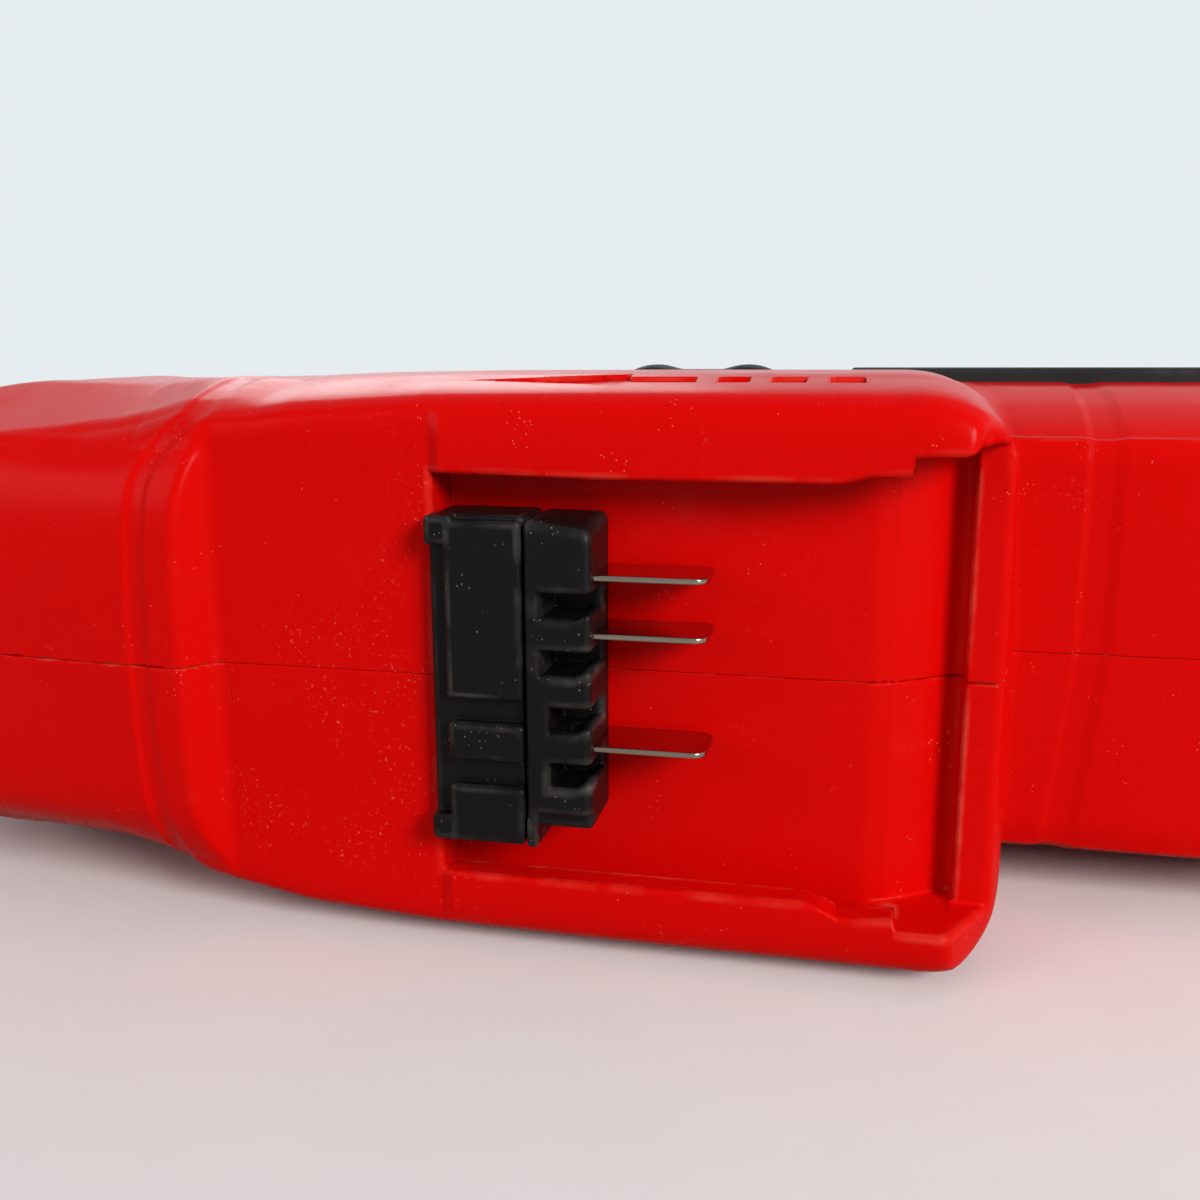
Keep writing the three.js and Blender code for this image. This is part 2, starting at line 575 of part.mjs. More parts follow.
// ---- side handle ----
function buildSideHandle() {
  const axis = [0, BARREL.y, 0];
  const band = tube('x', CLAMP.x0, CLAMP.x1, COLLAR.r + GAP, CLAMP.r, axis);
  const lug = box(CLAMP.x0, CLAMP.x1, HANDLE.top, BARREL.y - 28.5, -10, 10);
  const web = box(CLAMP.x0, CLAMP.x1, BARREL.y + 28.5, ROD.y, -5, 5);
  const rodSeat = rod('x', CLAMP.x0, CLAMP.x1, 6.5, [0, ROD.y, 0]);
  const rodHole = rod('x', CLAMP.x0 - 1, CLAMP.x1 + 1, ROD.r + GAP, [0, ROD.y, 0]);
  const boltHole = rod('y', HANDLE.top - 1, 166.5, 4.3, [HANDLE.x, 0, 0]);
  add('side_handle_clamp', cut(join(band, lug, web, rodSeat), rodHole, boltHole), 'black');

  const grip = turned('y', [[HANDLE.bottom, 0], [HANDLE.bottom, 12], [41, 15], [48, 16],
    [85, 17.5], [118, 16.2], [136, 15], [141, 19], [HANDLE.top - GAP, 19], [HANDLE.top - GAP, 0]],
  [HANDLE.x, 0, 0]);
  add('side_handle_grip', cut(grip, rod('y', 98, 160, 4.3, [HANDLE.x, 0, 0])), 'rubber');
  add('side_handle_bolt', rod('y', 98.4, 166, 4, [HANDLE.x, 0, 0]), 'steel');
  add('depth_rod', rod('x', ROD.x0, ROD.x1, ROD.r, [0, ROD.y, 0], 16), 'steel');
}

// ---- switch, electronics and soft covers ----
function buildControls() {
  const { x0, x1, y0, y1, half } = TRIGGER;
  const outline = shapeOf([[x1, y0], [x1, y1], [x0 + 4, y1], [x0 + 0.5, y1 - 5], [x0 + 2.5, y1 - 13],
    [x0, y0 + 3], [x0 + 2, y0]]);
  const stem = box(x1 - 1, x1 + 7, y0 + 8, y0 + 16, -4, 4);
  add('trigger', join(solid(slab(outline, -half, half)), stem), 'black');
  add('switch_body', box(76, 87, 118, 150, -8, 8), 'black');
  add('direction_bar', rod('z', -BAR.half, BAR.half, BAR.r, [BAR.x, BAR.y, 0]), 'black');
  add('led_lens', rod('x', -136.5, -131.2, 5, [0, 130, 0]), 'lens');

  add('control_board', box(-18, 32, 40, 41.6, -26, 26), 'board');
  const fins = [];
  for (let i = 0; i < 8; i++) fins.push(box(-10 + 4.4 * i, -8 + 4.4 * i, 43, 54, -20, 20));
  add('heat_sink', join(box(-12, 25, 41.9, 44, -20, 20), ...fins), 'aluminium');
}

function cable(points, radius) {
  const path = new THREE.CatmullRomCurve3(points.map((point) => new THREE.Vector3(...point)));
  const circle = new THREE.Shape().absarc(0, 0, radius, 0, 2 * Math.PI);
  const settings = { steps: 8, extrudePath: path, curveSegments: 6 };
  return solid(new THREE.ExtrudeGeometry(circle, settings));
}

function buildWires() {
  const leads = { wire_positive: 11, wire_negative: -11 };
  for (const [name, z] of Object.entries(leads)) {
    const route = [[-15, 11.4, z], [-15, 22, z], [-24, 30, z], [-24, 42, z], [-18.4, 46, z]];
    add(name, cable(route, 1.5), 'black');
  }
}

function buildSoftParts() {
  const cover = solid(gripGeometry(-2.3, 20, 88));
  const core = solid(gripGeometry(-GAP, 18, 90));
  const front = new THREE.BoxGeometry(40, 120, 60).translate(-24, 50, 0);
  front.rotateZ(GRIP.lean).translate(GRIP.x, GRIP.y, 0);
  add('grip_cover', cut(cover, core, solid(front)), 'rubber');

  const pad = box(-120, -76, 104, 122, -REST_HALF, -28);
  add('column_rest_pad', cut(pad, columnForm(-GAP)), 'rubber');
  for (const [side, sign] of [['left', 1], ['right', -1]]) {
    const [near, far] = [38.3 * sign, REST_HALF * sign].sort((a, b) => a - b);
    add(`side_pad_${side}`, box(30, 102, 49.5, 58, near, far), 'rubber');
    const stops = [[-35, -21, 9, BUMPER[side]], [-9, 6, 9, BUMPER[side]], [-22, -8, 5, 37.4]];
    const blocks = stops.map(([x0, x1, half, reach]) => {
      const [low, high] = [31 * sign, reach * sign].sort((a, b) => a - b);
      return box(x0, x1, BARREL.y - half, BARREL.y + half, low, high);
    });
    const barrel = rod('x', -36, 7, BARREL.r + GAP, [0, BARREL.y, 0], 40);
    add(`bumper_${side}`, cut(join(...blocks), barrel), 'rubber');
  }
}

buildHousing();
buildFasteners();
buildTerminals();
buildGears();
buildMotor();
buildBearings();
buildGearHousing();
buildChuck();
buildSideHandle();
buildControls();
buildWires();
buildSoftParts();

// The origin is under the middle of the tool, on the table that it lies on.
const bounds = new THREE.Box3().setFromObject(drill);
const centre = bounds.getCenter(new THREE.Vector3());
drill.position.set(-centre.x, -centre.y, -bounds.min.z);

export default drill;
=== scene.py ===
# Looks of the cordless hammer drill: its shells, chuck, handles, pads and terminals as smooth
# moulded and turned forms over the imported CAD, on a pale floor in soft studio light.
# Forms are written in millimetres in the tool's own frame: X from the chuck to the rear grip,
# Y from the battery foot up to the barrel, Z from the right side to the left, 0 at the parting plane.
import json
import math

import bpy
import numpy as np
from mathutils import Matrix, Vector


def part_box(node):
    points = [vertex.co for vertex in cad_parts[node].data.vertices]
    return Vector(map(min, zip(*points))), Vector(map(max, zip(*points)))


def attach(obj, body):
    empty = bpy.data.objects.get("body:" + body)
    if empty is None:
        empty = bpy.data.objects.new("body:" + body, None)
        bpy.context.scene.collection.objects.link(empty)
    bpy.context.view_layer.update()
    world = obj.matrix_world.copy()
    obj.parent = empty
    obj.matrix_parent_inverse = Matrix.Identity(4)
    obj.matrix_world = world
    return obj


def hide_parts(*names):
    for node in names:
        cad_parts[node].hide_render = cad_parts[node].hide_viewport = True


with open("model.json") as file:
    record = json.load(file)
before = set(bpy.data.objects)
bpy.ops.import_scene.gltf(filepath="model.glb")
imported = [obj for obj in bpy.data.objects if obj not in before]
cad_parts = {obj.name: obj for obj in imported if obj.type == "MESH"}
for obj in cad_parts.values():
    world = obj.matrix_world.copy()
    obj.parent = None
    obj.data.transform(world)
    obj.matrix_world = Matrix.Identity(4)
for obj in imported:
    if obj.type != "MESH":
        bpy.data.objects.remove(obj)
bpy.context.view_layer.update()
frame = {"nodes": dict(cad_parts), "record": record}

# The spindle's front end and height in the tool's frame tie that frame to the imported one.
SPINDLE_TIP_X, BARREL_Y = -214.5, 195
spindle_low, spindle_high = (np.array(corner) * 1000 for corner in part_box("spindle"))
spindle_middle = (spindle_low + spindle_high) / 2
SHIFT = np.array([spindle_low[0] - SPINDLE_TIP_X, spindle_middle[1] - BARREL_Y, spindle_middle[2]])


def placed(point):
    """A point of the tool's frame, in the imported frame's metres."""
    return (np.asarray(point, float) + SHIFT) / 1000


# ---- distance forms: each takes arrays x, y, z and gives the distance to a surface ----
def union(a, b, k=0.0):
    """Both forms, blended over a fillet of size k."""
    if k <= 0:
        return np.minimum(a, b)
    h = np.clip(0.5 + 0.5 * (b - a) / k, 0, 1)
    return b * (1 - h) + a * h - k * h * (1 - h)


def both(a, b, k=0.0):
    """What is inside both forms, its edge rounded over k."""
    return -union(-a, -b, k)


def less(a, b, k=0.0):
    """The first form with the second cut out of it."""
    return both(a, -b, k)


def block(x, y, z, low, high, r=0.0):
    """A box with rounded edges."""
    q = []
    for value, lo, hi in zip((x, y, z), low, high):
        q.append(np.abs(value - (lo + hi) / 2) - ((hi - lo) / 2 - r))
    outside = np.sqrt(sum(np.maximum(v, 0) ** 2 for v in q))
    return outside + np.minimum(np.maximum(np.maximum(q[0], q[1]), q[2]), 0) - r


def spin(along, radius, table, k=1.0):
    """A turned form from a table of [place along the axis, radius]; k rounds the ends."""
    a, r = np.array(table, float).T
    slope = np.gradient(r, a)
    here = np.interp(along, a, r)
    steep = np.interp(along, a, slope)
    side = (radius - here) / np.sqrt(1 + steep ** 2)
    ends = np.maximum(a[0] - along, along - a[-1])
    return both(side, ends, k)


def smooth_table(points, count=40):
    """A dense table through a few points, by a shape-keeping cubic."""
    a, r = np.array(points, float).T
    step = np.diff(r) / np.diff(a)
    slope = np.zeros_like(r)
    slope[1:-1] = np.where(step[1:] * step[:-1] > 0,
                           2 * step[1:] * step[:-1] / (step[1:] + step[:-1] + 1e-12), 0)
    slope[0], slope[-1] = step[0], step[-1]
    at = np.linspace(a[0], a[-1], count * len(points))
    i = np.clip(np.searchsorted(a, at) - 1, 0, len(a) - 2)
    h = a[i + 1] - a[i]
    t = (at - a[i]) / h
    value = ((2 * t ** 3 - 3 * t ** 2 + 1) * r[i] + (t ** 3 - 2 * t ** 2 + t) * h * slope[i]
             + (3 * t ** 2 - 2 * t ** 3) * r[i + 1] + (t ** 3 - t ** 2) * h * slope[i + 1])
    return np.stack([at, value], 1)


# ---- meshing a distance form on a grid whose steps may differ along each axis ----
# A grid is searched in blocks of this many cells a side.
BLOCK = 8
# Half the step over which a normal is measured.
NORMAL_STEP = 0.05
# Edge wear, which the plastics also paint as a highlight along creases, is read at this depth: beside an
# edge, another face is nearer than that.
WEAR_DEPTH = 1.2


def steps(*stops):
    """Grid lines from start, step, end, step, end and so on, with more to fill the last block."""
    lines = [stops[0]]
    for size, end in zip(stops[1::2], stops[2::2]):
        count = max(1, round((end - lines[-1]) / size))
        lines.extend(np.linspace(lines[-1], end, count + 1)[1:])
    while (len(lines) - 1) % BLOCK:
        lines.append(2 * lines[-1] - lines[-2])
    return np.array(lines)


def slope_of(form, p, h=0.02):
    """Gradient of a form at points."""
    g = np.empty_like(p)
    for axis in range(3):
        a, b = p.copy(), p.copy()
        a[:, axis] += h
        b[:, axis] -= h
        g[:, axis] = (form(*a.T) - form(*b.T)) / (2 * h)
    return g


def contour(form, xs, ys, zs):
    """Points and quads of the surface where the form is zero."""
    # The form is worked out only in the blocks that the surface may cross.
    lines = [xs, ys, zs]
    starts = [np.arange(0, len(v) - 1, BLOCK) for v in lines]
    I, J, K = (v.ravel() for v in np.meshgrid(*starts, indexing="ij"))
    low = np.stack([xs[I], ys[J], zs[K]], 1)
    high = np.stack([xs[I + BLOCK], ys[J + BLOCK], zs[K + BLOCK]], 1)
    middle = (low + high) / 2
    reach = np.linalg.norm(high - low, axis=1) / 2
    near = np.abs(form(*middle.T)) < 1.5 * reach + 0.5
    I, J, K = I[near], J[near], K[near]
    n = np.arange(BLOCK + 1)
    pieces = []
    for part in np.array_split(np.arange(len(I)), max(1, len(I) // 400)):
        gx = xs[I[part][:, None] + n][:, :, None, None]
        gy = ys[J[part][:, None] + n][:, None, :, None]
        gz = zs[K[part][:, None] + n][:, None, None, :]
        full = np.broadcast_arrays(gx, gy, gz)
        pieces.append(form(*(v.ravel() for v in full)).reshape(full[0].shape))
    values = np.concatenate(pieces)

    # A cell with corners on both sides gets one point, the mean of where its edges cross.
    inside = values < 0
    corner = [(a, b, c) for a in (0, 1) for b in (0, 1) for c in (0, 1)]
    count = sum(inside[:, a:a + BLOCK, b:b + BLOCK, c:c + BLOCK].astype(np.int8)
                for a, b, c in corner)
    at, i, j, k = np.nonzero((count > 0) & (count < len(corner)))
    cell = np.stack([I[at] + i, J[at] + j, K[at] + k], 1)
    value = {c: values[at, i + c[0], j + c[1], k + c[2]] for c in corner}
    place = {c: np.stack([xs[cell[:, 0] + c[0]], ys[cell[:, 1] + c[1]], zs[cell[:, 2] + c[2]]], 1)
             for c in corner}
    total, hits = np.zeros((len(at), 3)), np.zeros(len(at))
    for c in corner:
        for axis in range(3):
            if c[axis]:
                continue
            d = tuple(v + (q == axis) for q, v in enumerate(c))
            cross = (value[c] < 0) != (value[d] < 0)
            t = np.where(cross, value[c] / np.where(cross, value[c] - value[d], 1), 0)
            total += cross[:, None] * (place[c] + t[:, None] * (place[d] - place[c]))
            hits += cross
    points = total / hits[:, None]
    size = np.stack([np.diff(v)[cell[:, q]] for q, v in enumerate(lines)], 1)

    # A quad joins the four cells round each grid edge that the surface crosses.
    shape = (len(xs), len(ys), len(zs))
    key = np.ravel_multi_index(cell.T, shape)
    order = np.argsort(key)
    key, points, size, cell = key[order], points[order], size[order], cell[order]
    value = {c: v[order] for c, v in value.items()}
    quads = []
    for axis in range(3):
        d = tuple(int(q == axis) for q in range(3))
        first, last = value[(0, 0, 0)] < 0, value[d] < 0
        u, v = (axis + 1) % 3, (axis + 2) % 3
        for rows, turn in ((first & ~last, 1), (last & ~first, -1)):
            base = cell[rows]
            found, ok = [], np.ones(len(base), bool)
            for du, dv in ((1, 1), (0, 1), (0, 0), (1, 0)):
                other = base.copy()
                other[:, u] -= du
                other[:, v] -= dv
                ok &= (other >= 0).all(1)
                code = np.ravel_multi_index(np.maximum(other, 0).T, shape)
                spot = np.minimum(np.searchsorted(key, code), len(key) - 1)
                ok &= key[spot] == code
                found.append(spot)
            quads.append(np.stack(found, 1)[ok][:, ::turn])
    quads = np.concatenate(quads)

    # The points then move onto the surface, each time by less than a cell.
    for _ in range(3):
        f = form(*points.T)
        g = slope_of(form, points)
        move = -(f / np.maximum((g ** 2).sum(1), 0.09))[:, None] * g
        limit = 0.7 * size
        points = points + np.clip(move, -limit, limit)
    return points, quads


def shell(name, form, xs, ys, zs, body, nodes, slot, paint, keep=None, skin=None):
    """A piece made from a distance form, standing for the CAD nodes named."""
    points, quads = contour(form, xs, ys, zs)
    if keep is not None:
        quads = quads[keep(points[quads].mean(1))]
        used, quads = np.unique(quads, return_inverse=True)
        points, quads = points[used], quads.reshape(-1, 4)
    g = slope_of(form, points, NORMAL_STEP)
    normal = g / np.maximum(np.linalg.norm(g, axis=1), 1e-9)[:, None]
    # This edge measure marks convex edges, which the plastics paint pale: partly wear, partly a painted
    # highlight along creases.
    under = (skin or form)(*(points - WEAR_DEPTH * normal).T)
    worn = np.clip((under + WEAR_DEPTH) / WEAR_DEPTH, 0, 1)
    mesh = bpy.data.meshes.new(name)
    mesh.vertices.add(len(points))
    mesh.vertices.foreach_set("co", placed(points).astype(np.float32).ravel())
    mesh.loops.add(quads.size)
    mesh.loops.foreach_set("vertex_index", quads.astype(np.int32).ravel())
    mesh.polygons.add(len(quads))
    mesh.polygons.foreach_set("loop_start", np.arange(0, quads.size, 4, dtype=np.int32))
    mesh.update(calc_edges=True)
    mesh.validate()
    mesh.polygons.foreach_set("use_smooth", np.ones(len(mesh.polygons), bool))
    mesh.attributes.new("edge_wear_and_highlight", "FLOAT", "POINT").data.foreach_set(
        "value", worn.astype(np.float32))
    mesh.normals_split_custom_set_from_vertices(normal.tolist())
    piece = bpy.data.objects.new(name, mesh)
    bpy.context.scene.collection.objects.link(piece)
    mesh.materials.append(paint)
    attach(piece, body)
    if nodes:
        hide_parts(*nodes)
    return piece


# ---- driving dimensions, as in the solids ----
# The terminal blades stand at steps of one pitch, with the third place empty.
PITCH = 7.62
BLADE_Z = 14.7
BLADES = {name: BLADE_Z - step * PITCH
          for name, step in (("positive", 0), ("signal", 1), ("negative", 3))}
# Axes of the motor column, side handle, depth rod, mode knob and leaning rear grip.
COLUMN_X = -98
HANDLE_X = -182
ROD_Y = BARREL_Y + 38
KNOB_X = -140
GRIP_X, GRIP_Y, GRIP_LEAN = 88, 62, 0.135
# The battery recess: its closed end, the end of its grooves and its rim.
RECESS_BACK_X, POCKET_END_X, RIM_X = -22.5, 39.3, 46.5
# The lower face of the beam between the motor column and the rear grip.
BEAM_LOW_Y = 21.6
# Each shell stops this far from the parting plane, with its edge rounded.
PARTING_GAP, PARTING_EDGE = 0.01, 0.12
# How far the gear case's screws stand from the barrel's axis.
CASE_SCREW_RADIUS = 28.2
# Middles of the sleeve's flutes, the lamp and the direction bar.
FLUTES_X = -224
LAMP_Y = 130
BAR_X, BAR_Y = 64, 164
# Half the width of the grid for a housing screw.
SCREW_REACH = 4.2
# Housing screws: their place, and the housing's half width there.
SCREWS = ((-56, 30, 40), (44, 30, 40), (98, 50, 37.8), (83, 100, 17), (10, 217, 25.8),
          (-110, 218, 24.9))

# Outlines: a radius or a half width against the place along the piece.
COLUMN = smooth_table([(-6, 22), (-2, 27.5), (4, 31.5), (12, 35), (24, 37.6), (60, 38), (120, 35),
                       (150, 34), (165, 33.4), (190, 33.2)])
BARREL = smooth_table([(-128, 34), (18, 34), (40, 32.6), (62, 28.2), (80, 21), (91, 12), (96, 3)])
BEAM_HALF = np.vstack([[(20, 22.2), (21.5, 27.2)], smooth_table([
    (22.4, 30), (25, 31.5), (28, 32.9), (34, 35), (44, 37), (54, 37.4), (64, 36.4), (72, 32),
    (77, 24)])])
FOOT_HALF = np.vstack([[(-14, 23.7), (-8.4, 34.3)], smooth_table([
    (-7.5, 36), (-6.8, 36.8), (-5, 37.9), (-2, 38.6), (4, 39.4), (10, 40), (36, 40), (46, 38.8),
    (52, 35)])])
BASE_HALF = smooth_table([(-14, 22), (-12.3, 24), (-10, 26.2), (-8, 27.8), (-5.3, 29.9),
                          (-2.5, 31.6), (2, 33.8), (9, 36), (17, 37.3), (26, 37.9), (52, 38)])


def across(y, z, table, k=1.0):
    """A form whose half width in z follows its height in y."""
    a, r = table.T
    here = np.interp(y, a, r)
    steep = np.interp(y, a, np.gradient(r, a))
    return both((np.abs(z) - here) / np.sqrt(1 + steep ** 2), np.maximum(a[0] - y, y - a[-1]), k)


def grip_frame(x, y):
    """Coordinates across and along the leaning rear grip."""
    u, v = x - GRIP_X, y - GRIP_Y
    c, s = math.cos(GRIP_LEAN), math.sin(GRIP_LEAN)
    return u * c + v * s, v * c - u * s


def grip(x, y, z, out=0.0):
    """The rear grip, an oval bar, grown by out."""
    u, v = grip_frame(x, y)
    a, b = 19 + out, 17 + out
    q = np.sqrt((u / a) ** 2 + (z / b) ** 2)
    side = (q - 1) * np.minimum(a, b) * np.where(q > 1e-6, 1.06, 1)
    return np.maximum(side, np.maximum(-v, v - 127))


def recess(x, y, z):
    """Where the battery slides in: floor, undercut grooves, mouth, latch dip and rim."""
    upper = np.interp(x, [-23, 0, 30, 31.5, 34, 39.1, 39.3, 45, 48.5, 60],
                      [27.5, 27.0, 27.0, 27.2, 27.9, 28.0, 30.3, 30.5, 31.6, 32.2])
    lower = np.interp(x, [-23, 27.5, 29.5, 32, 36, 39.1, 39.5, 43, 46, 60],
                      [28.3, 28.1, 28.5, 29.8, 29.7, 29.3, 31.2, 31.2, 31.2, 31.2])
    edge = np.where(z > 0, z - upper, -z - lower)
    floor = np.maximum(np.maximum(edge, RECESS_BACK_X - x), y)
    groove = block(x, y, z, (RECESS_BACK_X, -4.0, -33), (POCKET_END_X, 0.0, 33), 0.3)
    dip = y - np.interp(x, [33, 35.5, 38, 41, 44, 46, 47.3], [-0.6, 0.1, 0.9, 2.7, 4.9, 5.9, 6.3])
    dip = both(both(dip, np.abs(z) - 31.2, 0.8), np.maximum(np.maximum(x - 47.3, 30 - x), -4 - y), 1.4)
    rear = block(x, y, z, (RIM_X, -30, -31.2), (80, 2.4, 31.5), 0.6)
    return union(union(floor, groove), union(dip, rear), 0.3)


def base(x, y, z):
    """The column's lower end and the battery foot as one moulding, recess included."""
    # The half width goes from the column's to the foot's; the right side is slimmer than the left.
    rho = np.where(x < COLUMN_X, np.hypot(x - COLUMN_X, z), np.abs(z))
    t = np.interp(x, [-75, -66.4, -59.3, -43.6, -24, 0], [0, 0.17, 0.53, 0.82, 0.97, 1])
    near, far = (np.interp(y, *table.T) for table in (BASE_HALF, FOOT_HALF))
    slim = np.interp(x, [-96, -76, -66, -56, -44], [3.0, 1.6, 1.0, 0.4, 0])
    full = np.interp(x, [-66, -48], [-1.8, 0]) * np.interp(y, [-5, -2], [1, 1.4])
    slim = np.where(z > 0, full, slim) * np.interp(y, [-14, -6, 2, 10, 26], [0.6, 1, 1, 0.8, 0])
    steep = np.interp(y, FOOT_HALF[:, 0], np.gradient(FOOT_HALF[:, 1], FOOT_HALF[:, 0]))
    steep = steep * t + (1 - t) * np.interp(y, [-12, 2, 20], [1.2, 0.54, 0.12])
    side = (rho - near * (1 - t) - far * t + slim) / np.sqrt(1 + steep ** 2)
    # The bottom is domed, the rear end leans, and a sloping facet trims the left flank.
    low = np.interp(x, [-136, -98, -88.8, -66.8, -58.4], [-9.0, -9.8, -10.5, -12.3, -12.7])
    low = low + 3.2 * (np.minimum(rho, 30) / 30) ** 5
    rear = 54.3 - 0.05 * np.maximum(z, 0) - 0.15 * np.maximum(z - 27, 0)
    crest = np.interp(x, [-98, -89, -80.5, -72, -66.4, -59.5, -54, -46],
                      [31.8, 32.4, 32.9, 33.7, 34.7, 36.5, 37.4, 42])
    side = both(side, 0.958 * (z - crest) - 0.287 * (y + 3.4), 0.4)
    body = both(side, x - rear, 12)
    body = both(body, low - y, 2.5)
    body = both(body, y - 52, 3.0)
    # The foot's own bottom is set back from the column's, and the recess is cut into it.
    front = np.interp(x, [-22.5, -21], [-7.85, -8.5])
    panel = both(y - front, 0.83 * (-55.1 + 0.67 * (y + 7.8) - x), 1.2)
    body = less(less(body, panel, 1.0), recess(x, y, z), 0.7)
    body = both(body, 0.884 * (x - 54.9) - 0.468 * (y - 8), 1.0)
    return both(body, x - rear - 0.2, 2.0)


def seam(x, y, z):
    """Depth of the shallow channel round the foot, where it leaves the motor column."""
    rise = np.clip(z - 24, 0, 11)
    centre = -65.2 + 1.1 * (np.minimum(np.abs(z), 30) / 25) ** 2 + 0.05 * rise ** 2
    off = np.where(x > centre, 0.65, 1) * np.abs(x - centre) / np.sqrt(1 + (0.1 * rise) ** 2)
    return 0.36 * np.exp(-(off / 1.15) ** 4) * np.interp(y, [42, 46], [1, 0])


def arrow(x, y, z):
    """The sunk arrow and dashes on the foot's left side, that show the way to push the battery."""
    y = y - 3.2
    head = np.maximum(np.abs(y) - (x + 20) * 0.22, x - 1.5) * 0.97
    for low, high in ((-2, 11), (14, 18), (21, 25.5), (28.5, 33)):
        head = np.minimum(head, block(x, y, 0, (low, -2.2, -1), (high, 2.2, 1)))
    return np.maximum(head, 37 - z)


def moulding(x, y, z):
    """The outside of both shells, battery recess included."""
    column = spin(y, np.hypot(x - COLUMN_X, z), COLUMN)
    # The beam has a fine bead along its lower edge, and a shallow channel across it near the foot.
    beam = both(across(y, z - 0.5, BEAM_HALF, 0.6), np.abs(x - 15) - 95, 9)
    crease = 0.22 * np.exp(-((y - BEAM_LOW_Y - 0.9) / 0.45) ** 2)
    beam = both(beam, BEAM_LOW_Y - y, 0.5) - crease
    slant = 65.5 - 0.1 * np.maximum(-z, 0)
    strip = np.clip((x - slant + 2) / 0.9, 0, 1) - np.clip((x - slant - 1.6) / 1.6, 0, 1)
    beam = beam + 0.28 * strip * (y < 60)
    barrel = spin(x, np.hypot(y - BARREL_Y, z), BARREL, 2.0)
    groove = np.exp(-((np.abs(z) - 21) / 1.7) ** 4) * np.interp(x, [-113, -110, 56, 62], [0, 1, 1, 0])
    barrel = barrel + 0.6 * groove
    body = union(union(column, beam, 10), union(barrel, grip(x, y, z), 9), 6)
    body = both(body, x - 109.7, 0.8)
    body = union(body, base(x, y, z), 2.5)
    body = body + seam(x, y, z)
    collar = np.maximum(np.abs(y - 150) - 0.9, np.maximum(-0.7 - body, x + 52))
    body = less(body, collar, 0.5)
    return less(body, np.maximum(arrow(x, y, z), -0.7 - body), 0.2)


def holes(x, y, z):
    """Openings for the blades, trigger, bar, lamp and gear case, then the vents and screws."""
    form = block(x, y, z, (-20.5, -1, -17.3), (-1.5, 12, 17.3), 0.8)
    form = union(form, block(x, y, z, (40, 126.5, -7.8), (66, 151.5, 7.8), 1.0))
    form = union(form, np.hypot(x - BAR_X, y - BAR_Y) - 4.3)
    form = union(form, np.maximum(np.hypot(y - LAMP_Y, z) - 5.3, x + 120))
    form = union(form, np.maximum(np.hypot(y - BARREL_Y, z) - 34.3, x + 128))
    for turn in (-1.05, -0.7, -0.35, 0.35, 0.7, 1.05):
        c, s = math.cos(turn), math.sin(turn)
        u, w = (x - COLUMN_X) * c - z * s, (x - COLUMN_X) * s + z * c
        form = union(form, block(u, y, w, (-60, 82, -1.5), (-20, 102, 1.5), 1.0))
    for sx, sy, half in SCREWS:
        form = union(form, np.maximum(np.hypot(x - sx, y - sy) - 4.4, z + half - 6))
    return form


def both_shells(x, y, z):
    """The shells as one; their edges wear and carry a painted highlight, and the parting line does not.
    """
    return less(moulding(x, y, z), holes(x, y, z), 0.5)


def half_shell(sign):
    """The shell on one side of the parting plane."""
    def form(x, y, z):
        return both(both_shells(x, y, z), PARTING_GAP - sign * z, PARTING_EDGE)
    return form


def outer_part(centres):
    """Keeps the skin and the walls round each hole, and drops what lies deep inside."""
    x, y, z = centres.T
    depth = moulding(x, y, z)
    boss = np.min([np.hypot(x - sx, y - sy) for sx, sy, _ in SCREWS], axis=0) < 4.7
    return (depth > -3.2) | (boss & (depth > -9))


# ---- materials ----
def feed(tree, socket, value):
    """Links an input to another node's output, or sets it to a plain value."""
    if isinstance(value, bpy.types.NodeSocket):
        tree.links.new(value, socket)
    else:
        socket.default_value = value


def add_node(tree, kind, inputs=None, **settings):
    """A new node with these settings, its inputs linked or set."""
    node = tree.nodes.new(kind)
    for key, value in settings.items():
        setattr(node, key, value)
    for key, value in (inputs or {}).items():
        feed(tree, node.inputs[key], value)
    return node


class Nodes:
    """A short way to write a material's node tree."""

    def __init__(self, name):
        self.material = bpy.data.materials.new(name)
        self.material.use_nodes = True
        self.tree = self.material.node_tree
        self.surface = self.tree.nodes["Principled BSDF"]
        self.place = self.add("ShaderNodeTexCoord").outputs["Object"]

    def add(self, kind, inputs=None, **settings):
        """A node of this material."""
        return add_node(self.tree, kind, inputs, **settings)

    def noise(self, scale, detail=4.0, rough=0.55, place=None):
        """Noise in the object's own coordinates, or in the ones given."""
        return self.add("ShaderNodeTexNoise", {"Vector": place or self.place, "Scale": scale,
                        "Detail": detail, "Roughness": rough}).outputs["Fac"]

    def ramp(self, value, low, high, out_low=0.0, out_high=1.0):
        """The stretch from low to high, spread over the outputs given and held at its ends."""
        return self.add("ShaderNodeMapRange", {"Value": value, "From Min": low, "From Max": high,
                        "To Min": out_low, "To Max": out_high}).outputs["Result"]

    def math(self, operation, a, b=0.0):
        """One sum, product or other operation on two values."""
        return self.add("ShaderNodeMath", {0: a, 1: b}, operation=operation).outputs[0]

    def mix(self, amount, a, b):
        """Colour a turning into colour b as the amount grows."""
        return self.add("ShaderNodeMix", {"Factor": amount, "A": a, "B": b},
                        data_type="RGBA").outputs["Result"]

    def stretched(self, x, y, z):
        """The object's coordinates, scaled along each axis."""
        return self.add("ShaderNodeMapping", {"Vector": self.place, "Scale": (x, y, z)}
                        ).outputs["Vector"]

    def bump(self, height, depth, strength=1.0, after=None):
        """A normal tilted by a height, on top of another normal where one is given."""
        inputs = {"Height": height, "Distance": depth, "Strength": strength}
        if after is not None:
            inputs["Normal"] = after
        return self.add("ShaderNodeBump", inputs).outputs["Normal"]

    def set(self, **inputs):
        """Links or sets the surface's own inputs, and gives the material."""
        for key, value in inputs.items():
            feed(self.tree, self.surface.inputs[key.replace("_", " ")], value)
        return self.material


